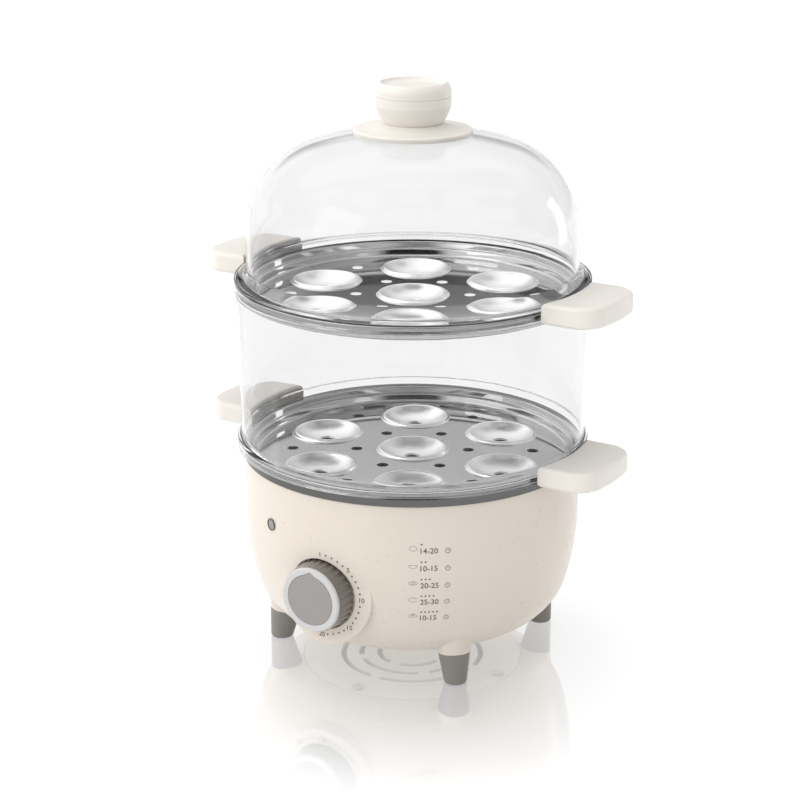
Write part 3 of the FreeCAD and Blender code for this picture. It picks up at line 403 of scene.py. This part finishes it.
def rim_profile():
    """Floor edge, stepped wall, flat rim and folded hem above the tray floor, closed underneath."""
    return scaled(
        profile(
            (FLOOR_EDGE_R, 0.0),
            [
                ((82.9, 0.35), (83.5, 1.4)),
                (84.0, 3.4),
                ((84.35, 4.0), (85.0, 4.3)),
                (85.2, 4.36),
                ((85.55, 4.55), (85.7, 5.0)),
                (85.95, 7.0),
                ((86.15, 7.65), (86.8, 7.9)),
                (90.3, 7.9),
                ((90.88, 7.68), (91.1, 7.1)),
                (91.1, 4.5),
                (90.6, 4.5),
                (90.6, 7.2),
                (86.95, 7.2),
                (86.6, 6.6),
                (86.2, 4.0),
                (85.0, 3.5),
                (84.5, 3.1),
                (84.1, 0.9),
                ((83.4, -0.2), (FLOOR_EDGE_R, -TRAY_T)),
            ],
        )
    )


def egg_tray(prefix, body, floor_z):
    """Pressed sheet with seven cups and two rings of steam holes."""
    mesh = bmesh.new()
    centres = [(0.0, 0.0)] + [polar(CUP_RING_R * MM, 60 * k) for k in range(6)]
    steam = [polar(radius * MM, 30 + 60 * k) for radius in STEAM_RING_RADII for k in range(6)]
    cup_hole = (CUP_R + CUP_FILLET) * MM
    holes = [(x, y, cup_hole, CUP_SEGMENTS) for x, y in centres]
    holes += [(x, y, STEAM_HOLE_R * MM, STEAM_SEGMENTS) for x, y in steam]
    fill_between(mesh, floor_z, FLOOR_EDGE_R * MM, holes, True)
    fill_between(mesh, floor_z - TRAY_T * MM, FLOOR_EDGE_R * MM, holes, False)
    flat = set(mesh.faces)
    cup = [(r, z + floor_z) for r, z in cup_profile()]
    for centre in centres:
        turn_profile(mesh, cup, centre, CUP_SEGMENTS)
    turn_profile(mesh, [(r, z + floor_z) for r, z in rim_profile()])
    for centre in steam:
        wall = [(STEAM_HOLE_R * MM, floor_z), (STEAM_HOLE_R * MM, floor_z - TRAY_T * MM)]
        turn_profile(mesh, wall, centre, STEAM_SEGMENTS, closed=False)
    curved = [face for face in mesh.faces if face not in flat]
    bmesh.ops.recalc_face_normals(mesh, faces=curved)
    for face in curved:
        centre = face.calc_center_median()
        radius = math.hypot(centre.x, centre.y)
        # Cup faces take the steel painted near white: a painted highlight.
        if radius < FLOOR_EDGE_R * MM:
            face.material_index = CUP_PAINTED_HIGHLIGHT_SLOT
        # Hem faces take the steel painted darker: painted shade.
        elif radius > HEM_R * MM and centre.z < floor_z + HEM_TOP * MM:
            face.material_index = HEM_PAINTED_SHADE_SLOT
    name, replaced = f"{prefix}_tray_sheet", [f"{prefix}_egg_tray"]
    piece = finish_piece(mesh, name, MIRROR, body, replaced, 40.0, outward=False)
    piece.data.materials.append(CUP_SATIN_PAINTED_HIGHLIGHT)
    piece.data.materials.append(HEM_PAINTED_SHADE_STEEL)


egg_tray("lower", "lower_tray", LOWER_FLOOR_Z)
egg_tray("upper", "upper_tray", UPPER_FLOOR_Z)


# ---- Clear ring and dome -------------------------------------------------------------------------

CLEAR_T = 2.0 * MM
LIP_R = RING_HIGH.x
LIP_INNER_R = 91.5 * MM
LIP_DROP = 2.9 * MM
NOTCH_DEPTH = 10 * MM
NOTCH_HALF_W = 13.5 * MM
DOME_WALL_R = 87.2 * MM
DOME_SHOULDER_Z = 226.0 * MM
DOME_SHOULDER_R = 47.5 * MM
DOME_CROWN_R = 200.0 * MM
DOME_BORE_R = 3.2 * MM


def cut_notches(piece, seat_z):
    """Gaps in the lapping lip where the tray's tabs pass out to the handles."""
    low, high = seat_z - LIP_DROP - 1 * MM, seat_z - 0.4 * MM
    size = Vector((NOTCH_DEPTH, 2 * NOTCH_HALF_W, high - low))
    for side in (-1, 1):
        mesh = bmesh.new()
        bmesh.ops.create_cube(mesh, size=1.0)
        centre = Vector((side * (LIP_INNER_R - 0.1 * MM + NOTCH_DEPTH / 2), 0, (low + high) / 2))
        for vert in mesh.verts:
            vert.co = vert.co * size + centre
        data = bpy.data.meshes.new("notch_cutter")
        mesh.to_mesh(data)
        mesh.free()
        cutter = bpy.data.objects.new("notch_cutter", data)
        bpy.context.scene.collection.objects.link(cutter)
        change = piece.modifiers.new("notch", "BOOLEAN")
        change.operation = "DIFFERENCE"
        change.solver = "EXACT"
        change.object = cutter
        bpy.context.view_layer.update()
        graph = bpy.context.evaluated_depsgraph_get()
        result = bpy.data.meshes.new_from_object(piece.evaluated_get(graph))
        piece.modifiers.clear()
        piece.data = result
        bpy.data.objects.remove(cutter)


def clear_ring():
    """Upright wall with a lapping lip below and a stepped edge above that holds the upper tray."""
    seat = LOWER_FLOOR_Z + TRAY_RIM_RISE
    top = RING_HIGH.z
    outer_low, outer_high = 91.5 * MM, 93.3 * MM
    inner_low, inner_high = outer_low - CLEAR_T, outer_high - CLEAR_T
    steps = [
        (LIP_INNER_R, seat),
        (LIP_INNER_R, seat - LIP_DROP),
        (LIP_R - 0.5 * MM, seat - LIP_DROP),
        ((LIP_R - 0.15 * MM, seat - LIP_DROP + 0.15 * MM), (LIP_R, seat - LIP_DROP + 0.5 * MM)),
        (LIP_R, seat + 2.4 * MM),
        ((LIP_R - 0.35 * MM, seat + 3.2 * MM), (LIP_R - 1.1 * MM, seat + 3.65 * MM)),
        ((outer_low + 0.35 * MM, seat + 4.4 * MM), (outer_low, seat + 6.0 * MM)),
        (outer_high, top - 0.6 * MM),
        ((outer_high - 0.18 * MM, top - 0.18 * MM), (outer_high - 0.6 * MM, top)),
        (inner_high - 1.4 * MM, top),
        (inner_high - 1.4 * MM, top - 1.6 * MM),
        ((inner_high - 0.45 * MM, top - 2.3 * MM), (inner_high, top - 3.6 * MM)),
        (inner_low, seat + 6.0 * MM),
    ]
    mesh = bmesh.new()
    turn_profile(mesh, profile((inner_low, seat), steps))
    piece = finish_piece(mesh, "clear_ring_shell", CLEAR, "tier", ["clear_ring"])
    cut_notches(piece, seat)


def crown_points(inset):
    """Shoulder and crown arcs of the dome, moved in by inset, from the wall's top to the bore."""
    shoulder_x = DOME_WALL_R - DOME_SHOULDER_R
    reach = DOME_CROWN_R - DOME_SHOULDER_R
    joint = math.acos(shoulder_x / reach)
    crown_z = DOME_SHOULDER_Z - reach * math.sin(joint)
    points = []
    shoulder_steps, crown_steps = 26, 12
    for k in range(shoulder_steps + 1):
        t = joint * k / shoulder_steps
        radius = DOME_SHOULDER_R - inset
        points.append((shoulder_x + radius * math.cos(t), DOME_SHOULDER_Z + radius * math.sin(t)))
    for k in range(1, crown_steps + 1):
        t = joint + (math.pi / 2 - joint) * k / crown_steps
        radius = DOME_CROWN_R - inset
        points.append((max(DOME_BORE_R, radius * math.cos(t)), crown_z + radius * math.sin(t)))
    return points


def dome_lid():
    """Domed wall that flares out to a lapping lip, with a bore for the knob's screw."""
    seat = UPPER_FLOOR_Z + TRAY_RIM_RISE
    flare_r = 6.0 * MM
    flare_z = seat + 9.5 * MM
    slant = flare_r * (1 - math.sqrt(0.5))
    seat_inner_r = 88.2 * MM
    lip_top_r = DOME_WALL_R + flare_r
    lip_top_z = flare_z - flare_r
    inner_r = DOME_WALL_R - CLEAR_T
    steps = [
        ((DOME_WALL_R + slant, lip_top_z + slant), (lip_top_r - 0.2 * MM, lip_top_z)),
        ((LIP_R - 0.15 * MM, lip_top_z - 0.25 * MM), (LIP_R, lip_top_z - 0.8 * MM)),
        (LIP_R, seat - LIP_DROP + 0.5 * MM),
        ((LIP_R - 0.15 * MM, seat - LIP_DROP + 0.15 * MM), (LIP_R - 0.5 * MM, seat - LIP_DROP)),
        (LIP_INNER_R, seat - LIP_DROP),
        (LIP_INNER_R, seat),
        (seat_inner_r, seat),
        (seat_inner_r, seat + 2.5 * MM),
        ((86.2 * MM, seat + 4.5 * MM), (inner_r, flare_z - 1.5 * MM)),
    ]
    lower = profile((DOME_WALL_R, flare_z), steps)
    outer = list(reversed(crown_points(0.0)))
    mesh = bmesh.new()
    turn_profile(mesh, [*outer, *lower, *crown_points(CLEAR_T)])
    piece = finish_piece(mesh, "dome_shell", CLEAR, "lid", ["dome_lid"])
    cut_notches(piece, seat)


clear_ring()
dome_lid()


# ---- Printed markings ----------------------------------------------------------------------------

PRINT_LIFT = 0.04 * MM
DIGIT_SHARE = 0.69  # a digit's height as a share of the font size


def wall_radius(z):
    """Radius of the housing's outer face on its upright wall and side curve."""
    drop = max(0.0, SIDE_CURVE_TOP_Z - z)
    return HOUSING_R - (SIDE_CURVE_R - math.sqrt(SIDE_CURVE_R**2 - drop**2))


def text_faces(text, height):
    """Flat mesh of a text, centred, with that digit height."""
    curve = bpy.data.curves.new("print_text", "FONT")
    curve.body = text
    curve.size = height / DIGIT_SHARE
    curve.align_x = "CENTER"
    curve.align_y = "CENTER"
    curve.resolution_u = 3
    curve.offset = height * 0.02
    holder = bpy.data.objects.new("print_text", curve)
    bpy.context.scene.collection.objects.link(holder)
    bpy.context.view_layer.update()
    graph = bpy.context.evaluated_depsgraph_get()
    data = bpy.data.meshes.new_from_object(holder.evaluated_get(graph))
    bpy.data.objects.remove(holder)
    vertices = [(v.co.x, v.co.y) for v in data.vertices]
    faces = [tuple(p.vertices) for p in data.polygons]
    bpy.data.meshes.remove(data)
    return vertices, faces


def stroke_faces(points, width):
    """Flat mesh of a line of that width through (u, v) points."""
    vertices, faces = [], []
    for index, (u, v) in enumerate(points):
        before = points[max(0, index - 1)]
        after = points[min(len(points) - 1, index + 1)]
        du, dv = after[0] - before[0], after[1] - before[1]
        length = math.hypot(du, dv)
        nu, nv = -dv / length * width / 2, du / length * width / 2
        vertices += [(u + nu, v + nv), (u - nu, v - nv)]
        if index:
            base = 2 * index
            faces.append((base - 2, base - 1, base + 1, base))
    return vertices, faces


def ellipse(u, v, a, b, start=0.0, end=360.0, count=20):
    """(u, v) points along part of an ellipse."""
    angles = [math.radians(start + (end - start) * k / count) for k in range(count + 1)]
    return [(u + a * math.cos(t), v + b * math.sin(t)) for t in angles]


def dot_faces(u, v, radius):
    """Flat mesh of a round dot."""
    vertices = ellipse(u, v, radius, radius, count=12)[:-1]
    return vertices, [tuple(range(len(vertices)))]


def print_piece(name, marks, place, material):
    """One printed piece from flat (vertices, faces) marks, laid on a surface by place(u, v)."""
    vertices, faces = [], []
    for mark_vertices, mark_faces in marks:
        first = len(vertices)
        vertices += [place(u, v) for u, v in mark_vertices]
        faces += [tuple(first + i for i in face) for face in mark_faces]
    data = bpy.data.meshes.new(name)
    data.from_pydata(vertices, [], faces)
    data.update()
    data.materials.append(material)
    piece = bpy.data.objects.new(name, data)
    bpy.context.scene.collection.objects.link(piece)
    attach(piece, "base")


def moved(mark, du, dv):
    """Mark moved by (du, dv)."""
    vertices, faces = mark
    return [(u + du, v + dv) for u, v in vertices], faces


def moved_left_to(mark, left, dv):
    """Mark with its left edge at left."""
    return moved(mark, left - min(u for u, v in mark[0]), dv)


SCALE_R = 22.2 * MM
SCALE_MINUTES = 30
SCALE_STEP = 9.0  # degrees for a minute
SCALE_DOT_R = 0.55 * MM
SCALE_DIGIT_H = 2.5 * MM
OFF_MARK_HALF = 1.1 * MM
OFF_MARK_W = 0.55 * MM
FACE_FRONT = -math.pi / 2


def on_pad(u, v):
    """(u, v) from the dial's axis, laid on the pad's upright cylinder or the wall round it."""
    t = FACE_FRONT + u / PAD_FACE_R
    radius = max(PAD_FACE_R, wall_radius(DIAL_Z + v)) + PRINT_LIFT
    return radius * math.cos(t), radius * math.sin(t), DIAL_Z + v


def dial_scale():
    """Off mark at the top, then minutes clockwise: a number each 45 degrees and dots between."""
    marks = []
    for minute in range(1, SCALE_MINUTES + 1):
        u, v = polar(SCALE_R, 90 - SCALE_STEP * minute)
        if minute % 5:
            marks.append(dot_faces(u, v, SCALE_DOT_R))
        else:
            marks.append(moved(text_faces(str(minute), SCALE_DIGIT_H), u * 1.02, v * 1.02))
    off_mark = [(0.0, SCALE_R - OFF_MARK_HALF), (0.0, SCALE_R + OFF_MARK_HALF)]
    marks.append(stroke_faces(off_mark, OFF_MARK_W))
    print_piece("dial_scale_print", marks, on_pad, INK)


def on_wall_at(degrees):
    """Placing function for marks centred at an angle from the front towards +X."""

    def place(u, v):
        radius = wall_radius(v) + PRINT_LIFT
        t = FACE_FRONT + math.radians(degrees) + u / HOUSING_R
        return radius * math.cos(t), radius * math.sin(t), v

    return place


GUIDE_ANGLE = 39.6
GUIDE_TOP_Z = 83.0 * MM
GUIDE_PITCH = 9.5 * MM
GUIDE_LEFT = -8.4 * MM
GUIDE_DIGIT_H = 2.9 * MM
GUIDE_DROP = 1.5 * MM
GUIDE_TIMES = ("14-20", "10-15", "20-25", "25-30", "10-15")
GUIDE_DOT_R = 0.5 * MM
GUIDE_DOT_PITCH = 2.1 * MM
CLOCK_OFFSET = 14.0 * MM
CLOCK_R = 1.25 * MM
FOOD_OFFSET = -3.7 * MM
FOOD_LINE_W = 0.28 * MM


def food_marks(kind):
    """Small generic drawings about (0, 0), in millimetres: egg, covered bowl, corn cob, potato, bun."""
    dots = []
    if kind == 0:
        lines = [ellipse(0, 0, 1.9, 1.35)]
    elif kind == 1:
        lines = [ellipse(0, 0.4, 2.1, 1.7, 180, 360, 14), [(-2.3, 0.5), (2.3, 0.5)]]
    elif kind == 2:
        rows = [[(k, -0.8), (k, 0.8)] for k in (-0.9, 0, 0.9)]
        lines = [ellipse(0, 0, 2.3, 1.0), *rows]
    elif kind == 3:
        lines = [ellipse(0, 0, 2.2, 1.2, 20, 340)]
        dots = [dot_faces(0, 0, 0.2 * MM)]
    else:
        folds = [[(0, 1.1), (k, -0.2)] for k in (-0.8, 0, 0.8)]
        lines = [ellipse(0, -0.8, 2.1, 2.0, 0, 180, 16), [(-2.1, -0.8), (2.1, -0.8)], *folds]
    return [stroke_faces(scaled(line), FOOD_LINE_W) for line in lines] + dots


def clock_marks():
    """A round face and two hands about (0, 0)."""
    face = stroke_faces(ellipse(0, 0, CLOCK_R, CLOCK_R), 0.3 * MM)
    hands = stroke_faces(scaled([(0, 0.8), (0, 0), (0.6, 0)]), 0.25 * MM)
    return [face, hands]


def cooking_guide():
    """Five rows: a food drawing, a row of dots for the water level, minutes and a clock."""
    times, foods = [], []
    for row, text in enumerate(GUIDE_TIMES):
        z = GUIDE_TOP_Z - GUIDE_PITCH * row
        times.append(moved_left_to(text_faces(text, GUIDE_DIGIT_H), GUIDE_LEFT, z - GUIDE_DROP))
        for k in range(row + 1):
            dot_u = GUIDE_LEFT + 0.6 * MM + GUIDE_DOT_PITCH * k
            times.append(dot_faces(dot_u, z + 2.2 * MM, GUIDE_DOT_R))
        times += [moved(mark, GUIDE_LEFT + CLOCK_OFFSET, z - GUIDE_DROP) for mark in clock_marks()]
        foods += [moved(mark, GUIDE_LEFT + FOOD_OFFSET, z) for mark in food_marks(row)]
    print_piece("guide_times_print", times, on_wall_at(GUIDE_ANGLE), INK)
    print_piece("guide_food_print", foods, on_wall_at(GUIDE_ANGLE), PALE_INK)


dial_scale()
cooking_guide()


# ---- Studio --------------------------------------------------------------------------------------

VIEW_AZIMUTH = math.radians(32.033)
VIEW_ELEVATION = math.radians(17.964)
CAMERA_PLACE = Vector((0.5462, -0.8858, 0.4697))
LENS_MM = 92.03

# Directions seen from the object: right and left are as the camera sees them.
TOWARDS_CAMERA = Vector((math.sin(VIEW_AZIMUTH), -math.cos(VIEW_AZIMUTH), 0))
CAMERA_RIGHT = Vector((math.cos(VIEW_AZIMUTH), math.sin(VIEW_AZIMUTH), 0))


def studio_point(towards, right, up):
    """Point or direction given by how far it is towards the camera, to its right, and up."""
    return TOWARDS_CAMERA * towards + CAMERA_RIGHT * right + Vector((0, 0, up))


def add_camera():
    data = bpy.data.cameras.new("camera")
    data.lens = LENS_MM
    data.sensor_width = 36.0
    camera = bpy.data.objects.new("camera", data)
    bpy.context.scene.collection.objects.link(camera)
    camera.location = CAMERA_PLACE
    level = math.cos(VIEW_ELEVATION)
    back = TOWARDS_CAMERA * level + Vector((0, 0, math.sin(VIEW_ELEVATION)))
    camera.rotation_euler = (-back).to_track_quat("-Z", "Y").to_euler()
    bpy.context.scene.camera = camera


def add_softbox(name, place, target, width, height, power):
    """Rectangular lamp at place that faces target."""
    data = bpy.data.lights.new(name, "AREA")
    data.shape = "RECTANGLE"
    data.size = width
    data.size_y = height
    data.energy = power
    light = bpy.data.objects.new(name, data)
    bpy.context.scene.collection.objects.link(light)
    light.location = place
    light.rotation_euler = (target - place).to_track_quat("-Z", "Y").to_euler()


# Patches that the steel mirrors: centre, inner and outer radius in degrees, and brightness.
DARK_PATCHES = (
    (studio_point(-0.35, 0.45, 0.82), 8.0, 18.0, 0.5),
    (studio_point(1.0, 0.0, 0.12), 18.0, 28.0, 0.02),
)
WINDOW_PATCHES = (
    (studio_point(1.0, 0.75, 0.10), 7.0, 10.0, 1.2),
    (studio_point(1.0, -0.9, 0.10), 8.0, 16.0, 0.5),
    (studio_point(-1.0, -0.10, 0.26), 1.0, 4.0, 0.7),
)

# Overhead brightening between two heights, and the dark band behind the object: its heights and its
# reach from straight behind. Angles are in degrees.
OVERHEAD_FROM, OVERHEAD_TO, OVERHEAD_GAIN = 22, 50, 1.4
BAND_HEIGHTS = (8.5, 12, 12.5, 22)
BAND_BRIGHTNESS = 0.04
BAND_INNER, BAND_OUTER = 18, 32
RIGHT_SIDE_GAIN = -0.5


def add_world():
    """Bright studio, brighter above and on the left, with a dark band low behind the object."""
    world = bpy.data.worlds.new("studio")
    world.use_nodes = True
    bpy.context.scene.world = world
    tree = world.node_tree
    tree.nodes.clear()
    output = tree.nodes.new("ShaderNodeOutputWorld")
    background = tree.nodes.new("ShaderNodeBackground")
    tree.links.new(background.outputs["Background"], output.inputs["Surface"])
    place = tree.nodes.new("ShaderNodeTexCoord")
    direction = place.outputs["Generated"]

    def math_node(operation, a, b):
        node = tree.nodes.new("ShaderNodeMath")
        node.operation = operation
        for socket, value in zip(node.inputs, (a, b)):
            if isinstance(value, (int, float)):
                socket.default_value = value
            else:
                tree.links.new(value, socket)
        return node.outputs["Value"]

    def along(vector):
        node = tree.nodes.new("ShaderNodeVectorMath")
        node.operation = "DOT_PRODUCT"
        node.inputs[1].default_value = vector
        tree.links.new(direction, node.inputs[0])
        return node.outputs["Value"]

    def patch(centre, inner, outer):
        """1 within inner degrees of a direction, fading to 0 at outer degrees."""
        angle = math_node("ARCCOSINE", along(centre.normalized()), 0.0)
        node = tree.nodes.new("ShaderNodeMapRange")
        numbers = (math.radians(inner), math.radians(outer), 1.0, 0.0)
        for socket, number in zip(node.inputs[1:5], numbers):
            socket.default_value = number
        tree.links.new(angle, node.inputs["Value"])
        return node.outputs["Result"]

    def ramp(value, low, high, dark, bright):
        """dark at and below low, bright at and above high, with a soft change between."""
        node = tree.nodes.new("ShaderNodeMapRange")
        node.interpolation_type = "SMOOTHSTEP"
        for socket, number in zip(node.inputs[1:5], (low, high, dark, bright)):
            socket.default_value = number
        tree.links.new(value, node.inputs["Value"])
        return node.outputs["Result"]

    def at_height(degrees):
        return math.sin(math.radians(degrees))

    height = along(Vector((0, 0, 1)))
    level = ramp(height, at_height(OVERHEAD_FROM), at_height(OVERHEAD_TO), 1.0, OVERHEAD_GAIN)
    sideways = math_node("MULTIPLY", along(CAMERA_RIGHT), RIGHT_SIDE_GAIN)
    level = math_node("MULTIPLY", level, math_node("ADD", 1.0, sideways))
    bottom, dark_from, dark_to, top = [at_height(degrees) for degrees in BAND_HEIGHTS]
    below_band = ramp(height, bottom, dark_from, 1.0, BAND_BRIGHTNESS)
    above_band = ramp(height, dark_to, top, BAND_BRIGHTNESS, 1.0)
    band = math_node("MAXIMUM", below_band, above_band)
    outer, inner = math.cos(math.radians(BAND_OUTER)), math.cos(math.radians(BAND_INNER))
    behind = ramp(along(-TOWARDS_CAMERA), outer, inner, 0.0, 1.0)
    band_depth = math_node("MULTIPLY", behind, math_node("SUBTRACT", 1.0, band))
    level = math_node("MULTIPLY", level, math_node("SUBTRACT", 1.0, band_depth))
    for centre, inner, outer, left_over in DARK_PATCHES:
        gap = math_node("MULTIPLY", patch(centre, inner, outer), 1.0 - left_over)
        level = math_node("MULTIPLY", level, math_node("SUBTRACT", 1.0, gap))
    for centre, inner, outer, bright in WINDOW_PATCHES:
        glow = math_node("MULTIPLY", patch(centre, inner, outer), bright)
        level = math_node("MAXIMUM", level, glow)
    camera_ray = tree.nodes.new("ShaderNodeLightPath").outputs["Is Camera Ray"]
    strength = math_node("MAXIMUM", level, camera_ray)
    tree.links.new(strength, background.inputs["Strength"])
    background.inputs["Color"].default_value = (1, 1, 1, 1)


FLOOR_R = 7.0
FLOOR_DROP = 0.2 * MM
FLOOR_GLOW = 0.8
FLOOR_GREY = 0.3
REFLECTION_CENTRE = studio_point(0.05, 0.0, 0.0)
REFLECTION_FULL_R, REFLECTION_END_R = 0.04, 0.19
REFLECTION_SHARE = 0.58


def floor_material():
    """Back-lit white acrylic: it glows evenly, and mirrors only what is close to the object."""
    material = bpy.data.materials.new("studio_floor")
    material.use_nodes = True
    tree = material.node_tree
    tree.nodes.clear()
    output = tree.nodes.new("ShaderNodeOutputMaterial")
    glow = tree.nodes.new("ShaderNodeEmission")
    glow.inputs["Strength"].default_value = FLOOR_GLOW
    matte = tree.nodes.new("ShaderNodeBsdfDiffuse")
    matte.inputs["Color"].default_value = (FLOOR_GREY, FLOOR_GREY, FLOOR_GREY, 1)
    gloss = tree.nodes.new("ShaderNodeBsdfGlossy")
    gloss.inputs["Roughness"].default_value = 0.03
    lit = tree.nodes.new("ShaderNodeAddShader")
    tree.links.new(glow.outputs["Emission"], lit.inputs[0])
    tree.links.new(matte.outputs["BSDF"], lit.inputs[1])
    place = tree.nodes.new("ShaderNodeTexCoord")
    length = tree.nodes.new("ShaderNodeVectorMath")
    length.operation = "DISTANCE"
    length.inputs[1].default_value = REFLECTION_CENTRE
    tree.links.new(place.outputs["Object"], length.inputs[0])
    fade = tree.nodes.new("ShaderNodeMapRange")
    fade.interpolation_type = "SMOOTHSTEP"
    numbers = (REFLECTION_FULL_R, REFLECTION_END_R, REFLECTION_SHARE, 0.0)
    for socket, number in zip(fade.inputs[1:5], numbers):
        socket.default_value = number
    tree.links.new(length.outputs["Value"], fade.inputs["Value"])
    mix = tree.nodes.new("ShaderNodeMixShader")
    tree.links.new(fade.outputs["Result"], mix.inputs["Fac"])
    tree.links.new(lit.outputs["Shader"], mix.inputs[1])
    tree.links.new(gloss.outputs["BSDF"], mix.inputs[2])
    tree.links.new(mix.outputs["Shader"], output.inputs["Surface"])
    return material


def add_floor():
    mesh = bmesh.new()
    bmesh.ops.create_circle(mesh, cap_ends=True, segments=96, radius=FLOOR_R)
    data = bpy.data.meshes.new("studio_floor")
    mesh.to_mesh(data)
    mesh.free()
    data.materials.append(floor_material())
    floor = bpy.data.objects.new("studio_floor", data)
    floor.location.z = -FLOOR_DROP
    bpy.context.scene.collection.objects.link(floor)


add_camera()
add_world()
add_floor()
MIDDLE = Vector((0, 0, 0.15))
add_softbox("key_left", studio_point(0.7, -1.1, 0.9), MIDDLE, 0.8, 0.9, 2.5)
add_softbox("rim_right", studio_point(-0.6, 1.1, 0.3), MIDDLE, 0.2, 0.7, 1.2)

bpy.context.scene.view_settings.view_transform = "Standard"
bpy.context.scene.view_settings.look = "None"
